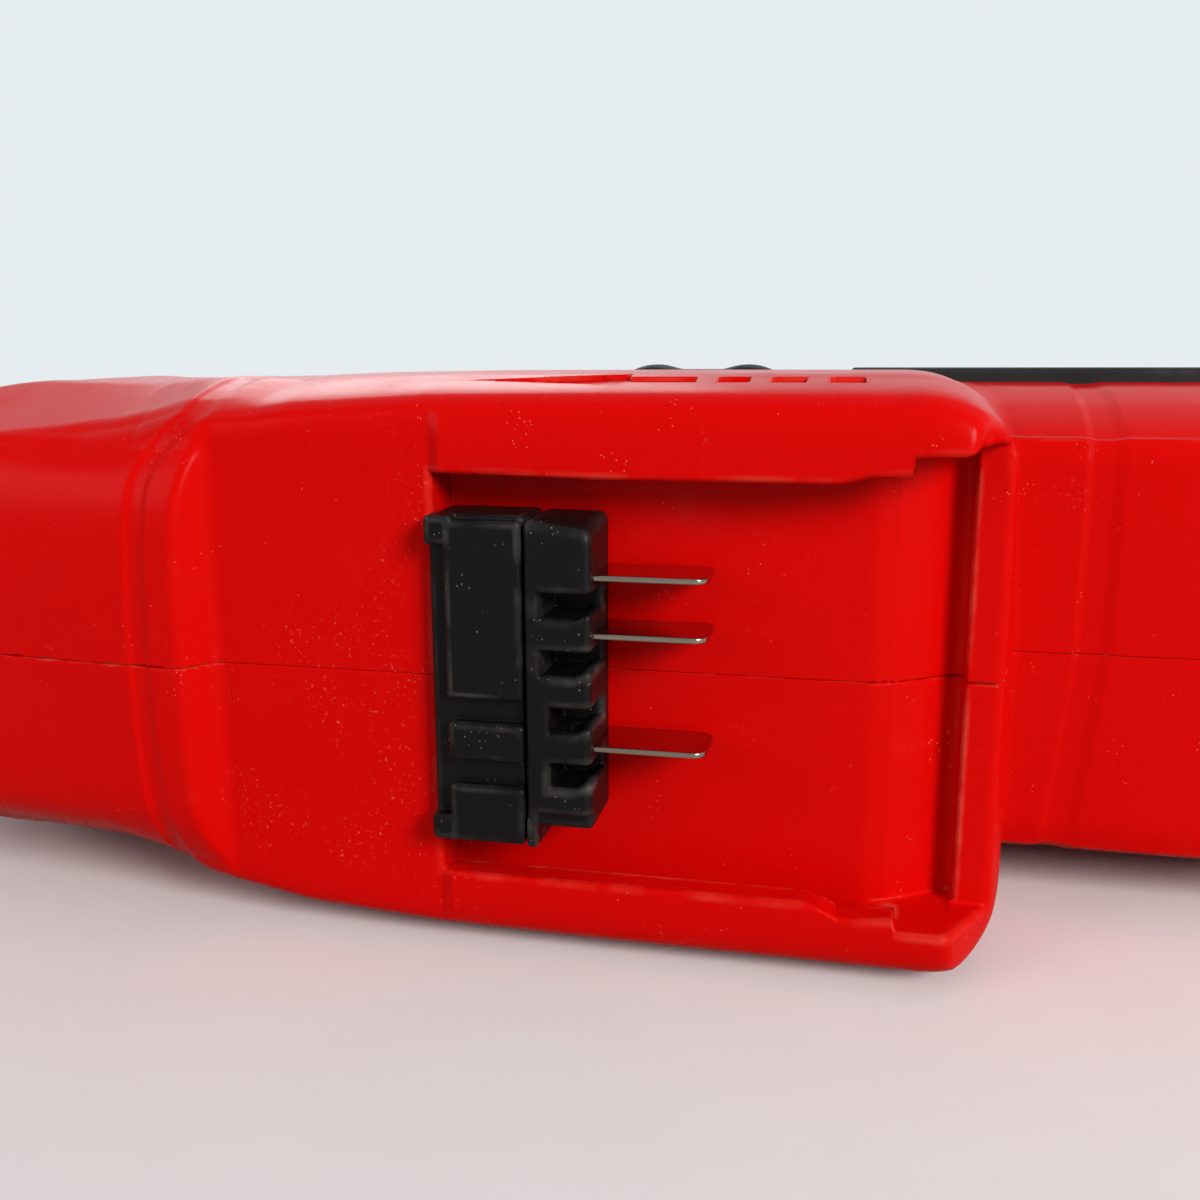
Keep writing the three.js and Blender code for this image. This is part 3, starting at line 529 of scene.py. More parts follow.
def moulded(name, colour, worn, rough, dust, grain, edge, specks, sheen):
    """Moulded plastic: faint mould grain, edges painted pale partly as scuffs and partly as a painted
    highlight along creases, and pale dust in specks and patches.
    """
    n = Nodes(name)
    wear = n.add("ShaderNodeAttribute", attribute_name="edge_wear_and_highlight").outputs["Fac"]
    patch = n.noise(130, 5)
    # Pale edges: partly scuffed wear, partly a painted highlight that stands in for the shine along
    # creases.
    edges = n.math("MULTIPLY", n.ramp(wear, 0.18, 0.8, 0, edge), n.ramp(patch, 0.42, 0.62))
    speck = n.add("ShaderNodeTexVoronoi", {"Vector": n.place, "Scale": 1200.0, "Randomness": 1.0})
    near = n.ramp(speck.outputs["Distance"], 0.16, 0.08)
    lone = n.math("MULTIPLY", near, n.ramp(n.noise(210, 2), 0.74 - 0.26 * specks, 0.78 - 0.26 * specks))
    scuffs = n.math("MULTIPLY", n.ramp(n.noise(1500, 3, 0.7), 0.62, 0.72),
                    n.ramp(n.noise(46, 2), 0.6, 0.72))
    specks_on = n.math("MULTIPLY", n.math("MAXIMUM", lone, scuffs), specks)
    smudge = n.math("MULTIPLY", n.ramp(n.noise(38, 8, 0.7), 0.6, 0.8), dust)
    tone = n.ramp(n.noise(14, 3), 0.3, 0.7, 0.0, 0.25)
    dark = tuple(c * 0.82 for c in colour[:3]) + (1,)
    base = n.mix(tone, colour, dark)
    pale = n.math("MAXIMUM", n.math("MAXIMUM", edges, specks_on), smudge)
    base = n.mix(pale, base, worn)
    gloss = n.ramp(n.noise(90, 6), 0.35, 0.7, rough * 0.85, rough * 1.2)
    gloss = n.ramp(pale, 0, 1, gloss, 0.75)
    fine = n.noise(2600, 3)
    broad = n.noise(120, 2)
    normal = n.bump(fine, grain * 1e-5, 0.6)
    normal = n.bump(broad, grain * 2.5e-5, 0.35, normal)
    return n.set(Base_Color=base, Roughness=gloss, Normal=normal, Specular_IOR_Level=sheen)


def metal(name, colour, rough, brushed=(1, 1, 1), depth=1.0, tarnish=None):
    """Machined metal: fine lines along the stretch given, and faint tarnish."""
    n = Nodes(name)
    lines = n.noise(900, 3, 0.6, n.stretched(*brushed))
    cloud = n.noise(60, 4)
    base = n.mix(n.ramp(cloud, 0.4, 0.75, 0, 0.6), colour,
                 tarnish or tuple(c * 0.6 for c in colour[:3]) + (1,))
    gloss = n.ramp(n.math("ADD", lines, n.math("MULTIPLY", cloud, 0.5)), 0.4, 1.1,
                   rough * 0.7, rough * 1.4)
    return n.set(Base_Color=base, Metallic=1.0, Roughness=gloss,
                 Normal=n.bump(lines, depth * 1e-5, 0.5))


# The red's pale edges are partly wear and partly a painted highlight along its creases.
RED = moulded("red_gloss", colour=(0.66, 0.0016, 0.0009, 1), worn=(0.9, 0.2, 0.13, 1), rough=0.26,
              dust=0.04, grain=0.4, edge=0.3, specks=0.5, sheen=0.05)
BLACK = moulded("black_moulded", colour=(0.0045, 0.0038, 0.004, 1), worn=(0.26, 0.24, 0.23, 1), rough=0.4,
                dust=0.04, grain=3.0, edge=0.3, specks=0.72, sheen=0.2)
BLACK_PART = moulded("black_part", colour=(0.012, 0.012, 0.0125, 1), worn=(0.12, 0.12, 0.12, 1),
                     rough=0.45, dust=0.03, grain=4.0, edge=0.3, specks=0.1, sheen=0.35)
RUBBER = moulded("soft_rubber", colour=(0.013, 0.013, 0.0135, 1), worn=(0.07, 0.07, 0.07, 1), rough=0.7,
                 dust=0.04, grain=9.0, edge=0.2, specks=0.1, sheen=0.3)
STEEL = metal("steel", (0.55, 0.56, 0.57, 1), 0.3, (1, 1, 8))
DARK_STEEL = metal("dark_steel", (0.12, 0.123, 0.13, 1), 0.34, (6, 1, 1))
ALUMINIUM = metal("cast_aluminium", (0.42, 0.43, 0.45, 1), 0.46, (1, 1, 1), 3.0)
NICKEL = metal("tinned_blade", (0.5, 0.44, 0.36, 1), 0.13, (0.6, 4, 4), 0.6, (0.32, 0.25, 0.18, 1))
COPPER = metal("copper_and_laminations", (0.55, 0.26, 0.13, 1), 0.35, (1, 12, 1), 4.0)


def board_paint():
    """A circuit board: green mask over a grid of tracks."""
    n = Nodes("solder_mask")
    tracks = n.add("ShaderNodeTexBrick", {"Vector": n.place, "Scale": 260.0, "Mortar Size": 0.03})
    base = n.mix(tracks.outputs["Fac"], (0.01, 0.11, 0.045, 1), (0.03, 0.2, 0.08, 1))
    return n.set(Base_Color=base, Roughness=0.35, Normal=n.bump(tracks.outputs["Fac"], 3e-5, 0.4))


def lens_paint():
    """Clear plastic with a faint moulded wave."""
    n = Nodes("clear_lens")
    rings = n.noise(400, 2)
    return n.set(Base_Color=(0.86, 0.9, 0.93, 1), Roughness=0.12, IOR=1.49,
                 Transmission_Weight=0.55, Normal=n.bump(rings, 2e-5, 0.5))


PAINT = {"red_shell": RED, "black_plastic": BLACK_PART, "rubber": RUBBER, "steel": STEEL,
         "dark_steel": DARK_STEEL, "aluminium": ALUMINIUM, "nickel": NICKEL, "copper": COPPER,
         "board": board_paint(), "lens": lens_paint()}
for entry in frame["record"]["subparts"]:
    for holder in frame["nodes"][entry["node"]].material_slots:
        holder.material = PAINT[entry["material_slot"]]

# ---- red shells ----
SHELL_X = steps(-137, 1.9, -108, 1.4, -70, 0.45, -52, 0.9, -26, 0.55, 70, 1.9, 112)
SHELL_Y = steps(-13.5, 0.45, 5.5, 1.1, 21.2, 0.3, 23.6, 1.1, 26, 1.8, 144, 0.8, 174, 1.5, 216, 0.9, 231)
SHELL_Z = steps(-0.6, 0.3, 0.6, 1.1, 17, 0.6, 37, 0.35, 40.8)
for side, sign in (("left", 1), ("right", -1)):
    lines = SHELL_Z if sign > 0 else -SHELL_Z[::-1]
    shell(f"shell_{side}", half_shell(sign), SHELL_X, SHELL_Y, lines, "tool",
          [f"housing_{side}"], "red_shell", RED, keep=outer_part, skin=both_shells)


# ---- terminal block ----
def carrier(x, y, z):
    """The plate behind the terminals, with raised panels and two corner lugs."""
    form = block(x, y, z, (-22.2, -10.2, -21.9), (-9.2, -0.3, 22.4), 0.7)
    for low, high in ((-1.9, 21.8), (-10.4, -5.3), (-21.9, -14)):
        form = union(form, block(x, y, z, (-19.6, -12, low), (-9.2, -9, high), 0.5))
    for low, high in ((18.6, 22.4), (-21.9, -18.4)):
        form = union(form, block(x, y, z, (-22.2, -12, low), (-18.5, -9, high), 0.5), 0.3)
    return form


def holder_form(x, y, z):
    """The block that holds the blades, with a slot below each place."""
    form = block(x, y, z, (-8.9, -12, -19.4), (0, -0.3, 24), 0.9)
    form = both(form, (z - 22.4 - 0.014 * (x + 8.9) * np.minimum(y, 0)) * 0.98, 1.6)
    form = union(form, block(x, y, z, (-8.9, -12, -22), (-7.4, -1, -18), 0.2))
    form = less(form, block(x, y, z, (-7.2, -14, -24), (3, -10.7, -17.2), 0.3), 0.7)
    for step in range(4):
        top = BLADE_Z - 2 - step * PITCH
        left = -6.9 if step < 2 else -5.7
        floor = top - 3.4 + np.maximum(x + 2.4, 0) * 0.45
        slot = np.maximum(block(x, y, z, (left, -16, top - 6), (6, -4, top), 0.3), (floor - z) * 0.91)
        form = less(form, slot, 0.8)
    return form


shell("block_carrier", carrier, steps(-23.5, 0.4, -8), steps(-13, 0.4, 1), steps(-23, 0.4, 24),
      "tool", ["terminal_carrier"], "black_plastic", BLACK)
shell("block_holder", holder_form, steps(-10, 0.35, 1.5), steps(-13, 0.4, 1),
      steps(-23, 0.35, 22), "tool", ["terminal_holder"], "black_plastic", BLACK)


def blade(centre):
    """A flat terminal blade at one height."""
    def form(x, y, z):
        wide = block(x, y, 0, (-7, -10.6, -9), (14.8, -1.1, 9), 2.1)
        return both(wide, np.abs(z - centre) - 0.4, 0.3)
    return form


for name, centre in BLADES.items():
    shell(f"terminal_{name}", blade(centre), steps(-8, 0.5, 16), steps(-11.2, 0.4, -0.4),
          steps(centre - 0.75, 0.12, centre + 0.75), "tool", [f"blade_{name}"], "nickel", NICKEL)


# ---- gear case, chuck and depth rod, all about the barrel's axis ----
def about_barrel(y, z, turn=0.0):
    """Height and width from the barrel's axis, turned about it."""
    c, s = math.cos(turn), math.sin(turn)
    return (y - BARREL_Y) * c + z * s, z * c - (y - BARREL_Y) * s


def spokes(y, z, count):
    """Distance round the barrel's axis to the nearest of a ring of evenly spaced lines."""
    angle = np.arctan2(z, y)
    step = math.tau / count
    return np.abs(np.mod(angle + step / 2, step) - step / 2) * np.hypot(y, z)


CASE = smooth_table([(-199, 23.6), (-196, 25.6), (-172, 25.6), (-168, 27), (-164, 29.2), (-158, 31.8),
                     (-152, 33.6), (-148, 34), (-128.3, 34)])
CASE_SCREW_TURNS = [(2 * quarter + 1) * math.pi / 4 for quarter in range(4)]


def gear_case(x, y, z):
    """The cast nose: a clamping collar, a cone with sunk panels, a flange and the knob's seat."""
    v, w = about_barrel(y, z)
    r = np.hypot(v, w)
    form = spin(x, r, CASE, 1.2)
    panel = np.maximum(np.maximum(np.abs(x + 158) - 6.5, -1.0 - form), 3.2 - spokes(v, w, 8))
    form = less(form, panel, 0.8)
    form = less(form, np.maximum(np.abs(x + 132.5) - 0.8, -0.8 - form), 0.4)
    form = less(form, np.maximum(np.abs(x + 145) - 0.5, -0.5 - form), 0.3)
    for turn in CASE_SCREW_TURNS:
        a, b = about_barrel(y, z, turn)
        from_screw = np.hypot(a - CASE_SCREW_RADIUS, b)
        boss = np.maximum(from_screw - 5.2, np.abs(x + 156) - 4.0)
        form = less(union(form, boss, 2), np.maximum(from_screw - 3.6, x + 155), 0.5)
    form = np.maximum(form, r - 34)
    seat = np.maximum(np.hypot(x - KNOB_X, v) - 14.2, np.abs(z + 31) - 3)
    form = union(form, seat, 1.0)
    hollow = r - np.interp(x, [-197.01, -197, -171, -170, -151, -150], [13, 18.3, 18.3, 22, 22, 31])
    return np.maximum(less(form, hollow, 0.5), x + 128.3)


def star(u, v):
    """The six-lobed hole in a screw's head."""
    return np.hypot(u, v) - 1.35 - 0.3 * np.cos(6 * np.arctan2(v, u))


def case_screw(turn):
    """A screw in the gear case, at one turn about the barrel."""
    def form(x, y, z):
        a, b = about_barrel(y, z, turn)
        a = a - CASE_SCREW_RADIUS
        head = spin(x, np.hypot(a, b), [(-158.2, 2.4), (-157.4, 3.0), (-154.6, 3.1)], 0.5)
        return less(head, np.maximum(star(a, b), x + 156.6), 0.15)
    return form


def barrel_grid(low, high, step, reach, fine):
    """Grid lines along the barrel and about its axis."""
    return (steps(low, step, high), steps(BARREL_Y - reach, fine, BARREL_Y + reach),
            steps(-reach, fine, reach))


shell("nose_case", gear_case, *barrel_grid(-200.5, -126.5, 0.7, 35.5, 1.0), "tool",
      ["gear_housing"], "aluminium", ALUMINIUM)
for number, turn in enumerate(CASE_SCREW_TURNS, 1):
    middle = (BARREL_Y + CASE_SCREW_RADIUS * math.cos(turn), CASE_SCREW_RADIUS * math.sin(turn))
    shell(f"case_screw_{number}", case_screw(turn), steps(-158.8, 0.3, -154),
          steps(middle[0] - 3.8, 0.35, middle[0] + 3.8), steps(middle[1] - 3.8, 0.35, middle[1] + 3.8),
          "tool", [], "dark_steel", DARK_STEEL)

JAW_TIP = (-241, 6.8)
JAW_LEAN = 0.262


def jaw_frame(x, y, z, number):
    """Coordinates along and out from one leaning jaw of the chuck."""
    v, w = about_barrel(y, z, number * math.tau / 3)
    c, s = math.cos(JAW_LEAN), math.sin(JAW_LEAN)
    along = (x - JAW_TIP[0]) * c + (v - JAW_TIP[1]) * s
    out = (v - JAW_TIP[1]) * c - (x - JAW_TIP[0]) * s
    return along, np.hypot(out, w), v


def chuck_barrel(x, y, z):
    """The chuck's steel body, with its bore and the slots of the jaws."""
    r = np.hypot(y - BARREL_Y, z)
    table = [(-246, 11.6), (-245, 12.6), (-240.5, 17.6), (-239.6, 18), (-205, 18), (-203, 16)]
    form = spin(x, r, table, 0.6)
    form = less(form, np.maximum(np.abs(x + 243.6) - 0.3, -0.4 - form), 0.2)
    form = less(form, r - np.interp(x, [-246, -245, -244, -215.01, -215], [8.6, 7.4, 7.2, 7.2, 8.1]), 0.3)
    for number in range(3):
        along, out, _ = jaw_frame(x, y, z, number)
        form = less(form, np.maximum(out - 3.1, np.abs(along - 3.5) - 19.5), 0.15)
    return form


def jaw(number):
    """A round jaw with teeth cut in its gripping face."""
    def form(x, y, z):
        along, out, v = jaw_frame(x, y, z, number)
        teeth = np.abs(np.mod(x, 1.3) - 0.65)
        form = both(out - 2.8, np.maximum(-along, along - 22), 0.4)
        return both(form, 4.6 + 0.25 * teeth - v, 0.1)
    return form


def sleeve(x, y, z):
    """The turning sleeve: deep flutes for the fingers, fine ribs between, a groove behind."""
    v, w = about_barrel(y, z)
    r = np.hypot(v, w)
    table = [(-240, 19.5), (-238.6, 20.6), (-235.5, 21.4), (-212.5, 21.4), (-211.8, 20.9),
             (-210.6, 20.9), (-209.9, 21.4), (-207, 21.1), (-206, 20.3)]
    form = spin(x, r, table, 0.7)
    flute = np.hypot(spokes(v, w, 12), r - 22.3) - 2.0
    form = less(form, np.maximum(flute, np.abs(x - FLUTES_X) - 11.5), 0.9)
    ribs = np.maximum(spokes(v, w, 72) - 0.45, np.maximum(21.0 - r, np.abs(x - FLUTES_X) - 9))
    form = less(form, ribs, 0.2)
    return less(form, r - 18.3, 0.4)


shell("chuck_barrel", chuck_barrel, *barrel_grid(-247, -202, 0.55, 19, 0.55), "spindle",
      ["chuck_body"], "dark_steel", DARK_STEEL)
for number in range(3):
    a = number * math.tau / 3
    middle = (BARREL_Y + 10 * math.cos(a), 10 * math.sin(a))
    shell(f"jaw_{number + 1}", jaw(number), steps(-242.5, 0.35, -217),
          steps(middle[0] - 6.5, 0.35, middle[0] + 6.5), steps(middle[1] - 6.5, 0.35, middle[1] + 6.5),
          f"jaw_{number + 1}", [f"chuck_jaw_{number + 1}"], "steel", STEEL)
shell("fluted_sleeve", sleeve, *barrel_grid(-241, -205, 0.5, 22, 0.42), "chuck_sleeve",
      ["chuck_sleeve"], "black_plastic", BLACK_PART)


def measuring_rod(x, y, z):
    """The depth rod, with a flat that carries marks every 5 mm."""
    v = y - ROD_Y
    form = spin(x, np.hypot(v, z), [(-246, 1.8), (-244.8, 3), (-159, 3), (-158, 2.4)], 0.4)
    form = both(form, z - 2.55, 0.2)
    marks = np.maximum(np.abs(np.mod(x, 5) - 2.5) - 0.45, np.maximum(2.2 - z, np.abs(x + 201) - 38))
    return less(form, marks, 0.1)


shell("measuring_rod", measuring_rod, steps(-247, 0.5, -157), steps(ROD_Y - 3.6, 0.4, ROD_Y + 3.6),
      steps(-3.6, 0.3, 3.6), "depth_rod", ["depth_rod"], "steel", STEEL)


# ---- side handle ----
def clamp(x, y, z):
    """The band round the collar, its lug over the handle and its seat for the rod."""
    r = np.hypot(y - BARREL_Y, z)
    ends = np.abs(x - HANDLE_X) - 8
    band = np.maximum(r - 31.5, ends)
    lug = block(x, y, z, (-190, 149, -10), (-174, 170, 10), 1.5)
    web = block(x, y, z, (-190, 222, -5), (-174, 233, 5), 0.5)
    seat = np.maximum(np.hypot(y - ROD_Y, z) - 6.5, ends)
    form = union(union(band, lug, 5), union(web, seat, 2), 4)
    form = both(form, ends, 1.6)
    form = both(form, 149 - y, 0.8)
    for at in (-187, -177):
        form = less(form, np.maximum(np.abs(x - at) - 0.7, -0.7 - form), 0.5)
    side = block(x, y, z, (-186, 224, 4), (-178, 231, 7.2), 1.2)
    form = union(form, side, 0.5)
    form = less(form, np.hypot(y - ROD_Y, z) - 3.3, 0.5)
    form = less(form, np.maximum(np.hypot(x - HANDLE_X, z) - 4.3, y - 166.5), 0.3)
    return less(form, r - 25.9, 0.6)


HANDLE = smooth_table([(38, 12.4), (40, 14.4), (46, 15.9), (60, 16.6), (85, 17.4), (118, 16.2),
                       (132, 15), (137, 15.4), (139.5, 17.2), (141.5, 19), (148.7, 19)])


def handle(x, y, z):
    """The soft side handle: ring ribs, a round end and a guard next to the clamp."""
    r = np.hypot(x - HANDLE_X, z)
    form = spin(y, r, HANDLE, 1.8)
    wave = 0.5 - 0.5 * np.cos(math.tau * (y - 52) / 6.5)
    window = np.clip((y - 50) / 3, 0, 1) * np.clip((130 - y) / 3, 0, 1)
    form = form + 0.85 * window * (1 - wave) ** 3
    form = less(form, np.maximum(np.abs(y - 44.5) - 0.7, -0.7 - form), 0.4)
    return less(form, np.maximum(r - 4.3, 98 - y), 0.3)


shell("rod_clamp", clamp, steps(-191.5, 0.6, -172.5), steps(147.5, 0.8, 241), steps(-33, 0.8, 33),
      "side_handle", ["side_handle_clamp"], "black_plastic", BLACK_PART)
shell("soft_handle", handle, steps(-202, 0.8, -162), steps(36.5, 0.65, 150.5), steps(-20, 0.8, 20),
      "side_handle", ["side_handle_grip"], "rubber", RUBBER)


# ---- controls ----
def knob(x, y, z):
    """The mode knob: a scalloped disc with a pinch ridge that narrows to a pointer."""
    u, v = x - KNOB_X, y - BARREL_Y
    r = np.hypot(u, v)
    rim = 13 - 0.35 * (0.5 + 0.5 * np.cos(24 * np.arctan2(v, u)))
    disc = both(r - rim, np.abs(z + 35.85) - 1.55, 0.9)
    half = np.interp(u, [-11.5, -4, 11.5], [1.3, 3.2, 3.2])
    ridge = both(both(np.abs(v) - half, np.abs(u) - 11.5, 1.0), np.abs(z + 38.1) - 1.9, 1.0)
    form = union(disc, ridge, 1.2)
    return less(form, np.maximum(np.abs(v) - 0.5, np.maximum(np.abs(u + 6) - 4, z + 39.5)), 0.2)


def trigger(x, y, z):
    """The trigger: a finger curve with shallow ridges, round at the sides, on its stem."""
    front = np.interp(y, *smooth_table([(127, 50.5), (128.5, 48.2), (131, 47.2), (135, 47.9),
                                        (140, 49.2), (144, 48.4), (147, 47.2), (149.3, 47.9),
                                        (151, 51)]).T)
    front = front + 0.035 * z ** 2
    ridge = 0.3 * np.clip(1 - np.abs(np.mod(y - 134, 3) - 1.5) / 0.8, 0, 1)
    front = front + ridge * (np.abs(y - 140) < 6)
    form = both(both(front - x, np.abs(z) - 7.2, 2.2), np.maximum(127 - y, y - 151), 1.6)
    form = both(form, x - 62, 0.5)
    return union(form, block(x, y, z, (60, 135, -4), (69, 143, 4), 0.5))


def slide_bar(x, y, z):
    """The bar that slides across to set the direction."""
    r = np.hypot(x - BAR_X, y - BAR_Y)
    form = both(r - 4, np.abs(z) - 20, 1.6)
    for at in (17.6, 18.6):
        form = less(form, np.maximum(np.abs(np.abs(z) - at) - 0.2, -0.3 - form), 0.1)
    return form


def lens(x, y, z):
    """The lamp's domed lens."""
    table = [(-136.5, 2.6), (-136.1, 3.8), (-135.2, 4.7), (-134, 5), (-131.2, 5)]
    return spin(x, np.hypot(y - LAMP_Y, z), smooth_table(table), 0.3)


shell("pinch_knob", knob, steps(-154, 0.45, -126), steps(181.5, 0.45, 208.5), steps(-40.6, 0.3, -33.8),
      "mode_knob", ["mode_knob"], "black_plastic", BLACK_PART)
shell("finger_trigger", trigger, steps(46, 0.4, 63, 0.8, 70), steps(126, 0.4, 152),
      steps(-8, 0.5, 8), "trigger", ["trigger"], "black_plastic", BLACK_PART)
shell("slide_bar", slide_bar, steps(BAR_X - 4.7, 0.5, BAR_X + 4.7),
      steps(BAR_Y - 4.7, 0.5, BAR_Y + 4.7), steps(-20.7, 0.25, -15, 1.5, 15, 0.25, 20.7),
      "direction_bar", ["direction_bar"], "black_plastic", BLACK_PART)
shell("lamp_lens", lens, steps(-137, 0.25, -130.8), steps(LAMP_Y - 5.5, 0.4, LAMP_Y + 5.5),
      steps(-5.5, 0.4, 5.5), "tool", ["led_lens"], "lens", PAINT["lens"])


# ---- soft covers, pads and bumpers ----
def soft_grip(x, y, z):
    """The rubber over the back of the rear grip, with slanted ribs."""
    u, v = grip_frame(x, y)
    form = both(grip(x, y, z, 2.3), -grip(x, y, z, -0.3), 0.2)
    form = both(both(form, np.abs(v - 54) - 34, 0.9), -4 - u, 0.9)
    slant = np.abs(np.mod(v + 0.45 * np.abs(z), 5) - 2.5) - 0.75
    patch = np.maximum(np.abs(v - 54) - 29, 2 - u)
    return less(form, np.maximum(np.maximum(slant, patch), 1.75 - grip(x, y, z, 0)), 0.4)


def rest_pad(x, y, z):
    """The ribbed pad on which the motor column lies."""
    form = block(x, y, z, (-120, 104, -40), (-76, 122, -26), 2.0)
    u = x - COLUMN_X
    lines = np.maximum(np.abs(np.mod(u, 6) - 3) - 0.6, np.maximum(z + 39.2, np.abs(u) - 19))
    column = spin(y, np.hypot(u, z), COLUMN, 0)
    return less(less(form, lines, 0.3), column + 0.3, 0.2)


def side_pad(sign):
    """A thin pad on one side of the foot's beam, with a slotted end."""
    def form(x, y, z):
        z = sign * z
        form = block(x, y, z, (30, 49.5, 36.2), (102, 58, 40), 0.8)
        slots = np.maximum(np.abs(np.mod(x, 4) - 2) - 0.6, np.maximum(39.3 - z, np.abs(x - 88) - 10))
        return less(form, np.maximum(slots, np.abs(y - 53.75) - 3.2), 0.25)
    return form


def bumper(sign, reach):
    """Two crowned stops and the link between them, on one side of the barrel."""
    def form(x, y, z):
        z = sign * z
        form = None
        for low, high in ((-35, -21), (-9, 6)):
            middle, half = (low + high) / 2, (high - low) / 2
            crown = reach - 1.9 * ((x - middle) / half) ** 2 - 0.9 * ((y - BARREL_Y) / 9) ** 4
            stop = both(block(x, y, 0, (low, 186, -9), (high, 204, 9), 2.5), z - crown, 0.8)
            form = stop if form is None else np.minimum(form, stop)
        link = both(block(x, y, 0, (-24, 190, -9), (-6, 200, 9), 0.5), z - 37.2, 0.5)
        form = union(form, link, 1.0)
        return np.maximum(both(form, 33.8 - np.hypot(y - BARREL_Y, z), 0.3), 31 - z)
    return form


shell("soft_grip", soft_grip, steps(64, 0.6, 114), steps(78, 0.6, 156), steps(-21, 0.6, 21), "tool",
      ["grip_cover"], "rubber", RUBBER)
shell("rest_pad", rest_pad, steps(-121, 0.8, -75), steps(103, 0.8, 123), steps(-41, 0.5, -26),
      "tool", ["column_rest_pad"], "rubber", RUBBER)
for side, sign, reach in (("left", 1, 38.6), ("right", -1, 40)):
    pad_lines, stop_lines = steps(35.8, 0.3, 40.4), steps(30.5, 0.6, 40.8)
    if sign < 0:
        pad_lines, stop_lines = -pad_lines[::-1], -stop_lines[::-1]
    shell(f"pad_{side}", side_pad(sign), steps(29, 0.5, 103), steps(49, 0.5, 58.6), pad_lines, "tool",
          [f"side_pad_{side}"], "rubber", RUBBER)
    shell(f"stop_{side}", bumper(sign, reach), steps(-36, 0.6, 7), steps(185, 0.6, 205), stop_lines,
          "tool", [f"bumper_{side}"], "rubber", RUBBER)


# ---- screws ----
def housing_screw(sx, sy, half):
    """A star screw in the right shell, with its shank."""
    def form(x, y, z):
        r = np.hypot(x - sx, y - sy)
        head = spin(z, r, [(2.5 - half, 2.9), (3.1 - half, 3.7), (5.6 - half, 3.8)], 0.4)
        head = less(head, np.maximum(star(x - sx, y - sy), z + half - 4.4), 0.15)
        return np.minimum(head, np.maximum(r - 1.7, np.maximum(5 - half - z, z - half + 9)))
    return form


for number, (sx, sy, half) in enumerate(SCREWS, 1):
    shell(f"star_screw_{number}", housing_screw(sx, sy, half),
          steps(sx - SCREW_REACH, 0.4, sx + SCREW_REACH),
          steps(sy - SCREW_REACH, 0.4, sy + SCREW_REACH),
          steps(2 - half, 0.35, 6.4 - half, 4, half - 8),
          "tool", [f"housing_screw_{number}"], "dark_steel", DARK_STEEL)


# ---- stage, light and camera ----
BACKDROP = (0.79, 0.84, 0.87, 1)


def floor_paint():
    """A floor that looks pale, throws up the light of a wooden bench and fades into the backdrop."""
    n = Nodes("pale_floor")
    grain = n.noise(60, 4)
    seen = n.add("ShaderNodeLightPath").outputs["Is Camera Ray"]
    pale = n.mix(grain, (0.85, 0.845, 0.83, 1), (0.89, 0.885, 0.875, 1))
    n.set(Base_Color=n.mix(seen, (0.42, 0.39, 0.36, 1), pale), Roughness=0.75,
          Specular_IOR_Level=0.2)
    away = n.add("ShaderNodeVectorMath", {0: n.place}, operation="LENGTH").outputs["Value"]
    glow = n.add("ShaderNodeEmission", {"Color": BACKDROP, "Strength": 1.0})
    fade = n.add("ShaderNodeMapRange", {"Value": away, "From Min": 0.2, "From Max": 0.75},
                 interpolation_type="SMOOTHSTEP").outputs["Result"]
    mixed = n.add("ShaderNodeMixShader", {0: n.math("MULTIPLY", fade, seen)})
    n.tree.links.new(n.surface.outputs[0], mixed.inputs[1])
    n.tree.links.new(glow.outputs[0], mixed.inputs[2])
    n.tree.links.new(mixed.outputs[0], n.tree.nodes["Material Output"].inputs["Surface"])
    return n.material


def floor(size=6, at=-0.0003):
    """A wide floor just under the part."""
    mesh = bpy.data.meshes.new("floor")
    mesh.from_pydata([(-size, -size, at), (size, -size, at), (size, size, at), (-size, size, at)],
                     [], [(0, 1, 2, 3)])
    piece = bpy.data.objects.new("floor", mesh)
    bpy.context.scene.collection.objects.link(piece)
    mesh.materials.append(floor_paint())


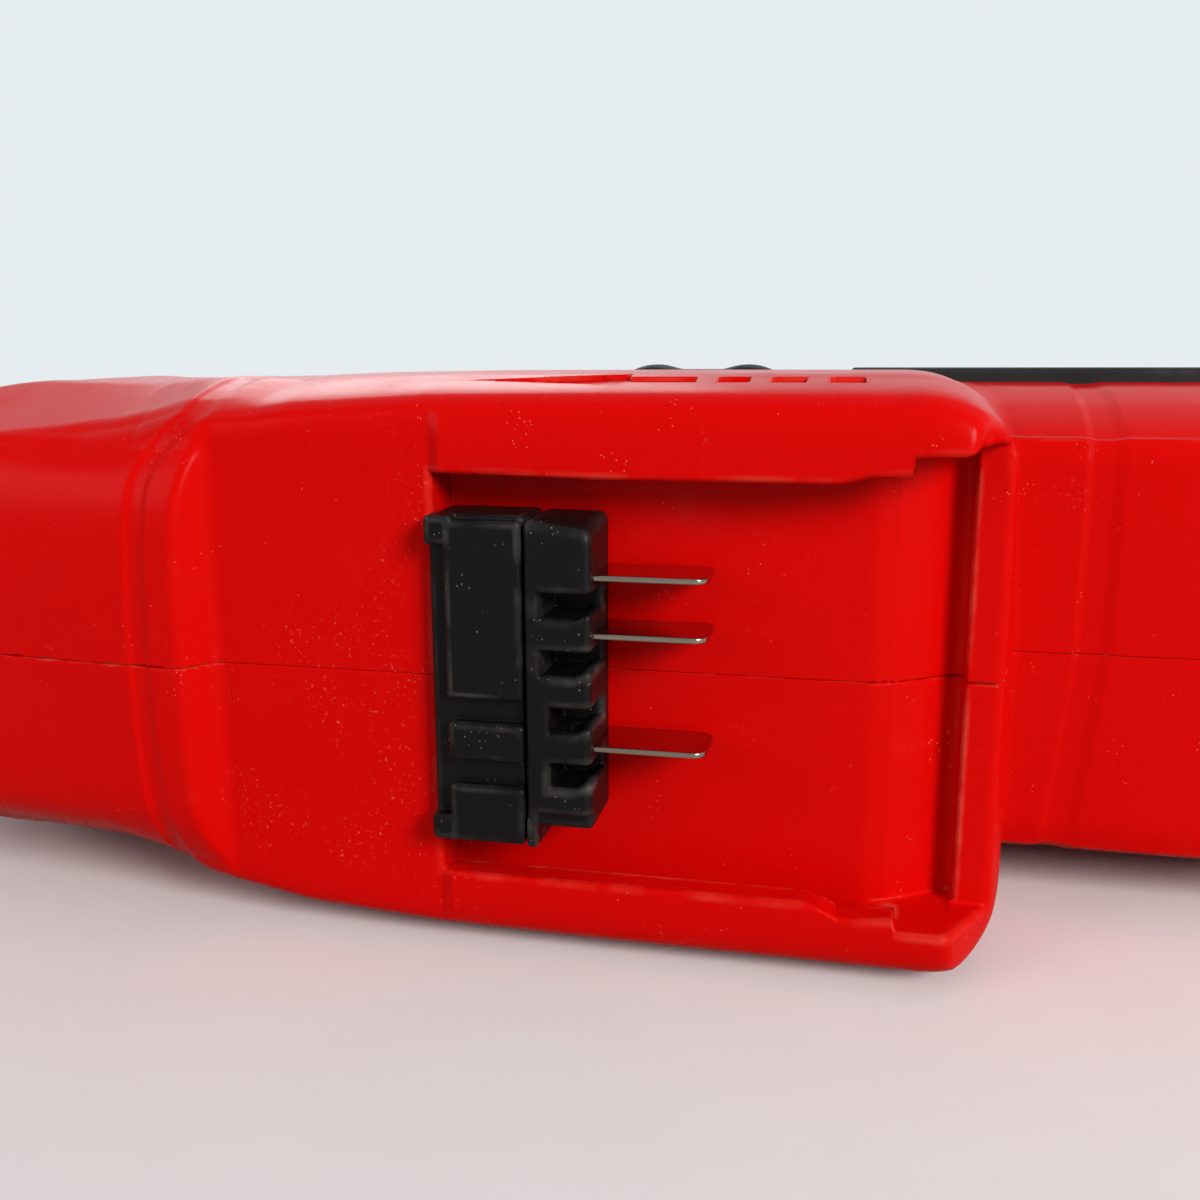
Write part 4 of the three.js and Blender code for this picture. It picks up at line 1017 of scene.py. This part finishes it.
def backdrop():
    """An even soft light. Mirrors see it pale beyond the tool and grey in front of it."""
    world = bpy.data.worlds.new("studio")
    bpy.context.scene.world = world
    world.use_nodes = True
    tree = world.node_tree
    direction = add_node(tree, "ShaderNodeTexCoord").outputs["Generated"]
    ahead = add_node(tree, "ShaderNodeSeparateXYZ", {0: direction}).outputs["Y"]
    share = add_node(tree, "ShaderNodeMapRange", {"Value": ahead, "From Min": -0.5, "From Max": 0.6},
                     interpolation_type="SMOOTHSTEP").outputs["Result"]
    path = add_node(tree, "ShaderNodeLightPath")
    mirror = add_node(tree, "ShaderNodeMath", {0: path.outputs["Is Glossy Ray"],
                      1: path.outputs["Is Transmission Ray"]}, operation="MAXIMUM").outputs[0]
    seen = add_node(tree, "ShaderNodeMix", {"Factor": share, "A": (0.3, 0.32, 0.34, 1),
                    "B": BACKDROP}, data_type="RGBA").outputs["Result"]
    soft = add_node(tree, "ShaderNodeBackground", {"Color": (0.84, 0.88, 0.92, 1), "Strength": 0.4})
    glossy = add_node(tree, "ShaderNodeBackground", {"Color": seen, "Strength": 1.0})
    plain = add_node(tree, "ShaderNodeBackground", {"Color": BACKDROP, "Strength": 1.0})
    first = add_node(tree, "ShaderNodeMixShader", {0: mirror, 1: soft.outputs[0],
                     2: glossy.outputs[0]})
    last = add_node(tree, "ShaderNodeMixShader", {0: path.outputs["Is Camera Ray"],
                    1: first.outputs[0], 2: plain.outputs[0]})
    tree.links.new(last.outputs[0], tree.nodes["World Output"].inputs["Surface"])


def area_light(name, at, aim, size, power):
    """A round soft lamp."""
    data = bpy.data.lights.new(name, "AREA")
    data.shape = "DISK"
    data.size = size
    data.energy = power
    lamp = bpy.data.objects.new(name, data)
    lamp.location = at
    lamp.rotation_mode = "QUATERNION"
    lamp.rotation_quaternion = (Vector(aim) - Vector(at)).to_track_quat("-Z", "Y")
    bpy.context.scene.collection.objects.link(lamp)


floor()
backdrop()
# The key lamp is in front on the right, the fill in front on the left, the last behind on the left.
area_light("key", (1.0, -0.9, 0.62), (0.05, -0.1, 0.03), 0.5, 16.5)
area_light("fill", (-1.0, -1.0, 0.6), (0.0, -0.1, 0.03), 0.8, 3.5)
area_light("back", (-0.6, 1.35, 0.9), (-0.05, 0.0, 0.03), 1.0, 6)

# The camera's place in the tool's frame, and where its right side and its lens point.
CAMERA_AT = (33.9, -156.8, 43.5)
CAMERA_RIGHT, CAMERA_AIM = Vector((0.976, 0.219, -0.004)), Vector((-0.215, 0.955, -0.206))
camera = bpy.data.cameras.new("camera")
camera.lens, camera.sensor_width = 36, 36
camera.clip_start, camera.clip_end = 0.005, 50
eye = bpy.data.objects.new("camera", camera)
bpy.context.scene.collection.objects.link(eye)
right = CAMERA_RIGHT.normalized()
forward = CAMERA_AIM.normalized()
up = right.cross(forward).normalized()
turn = Matrix((right, up, -forward)).transposed().to_4x4()
eye.matrix_world = Matrix.Translation(Vector(placed(CAMERA_AT))) @ turn
bpy.context.scene.camera = eye
bpy.context.scene.view_settings.view_transform = "Standard"
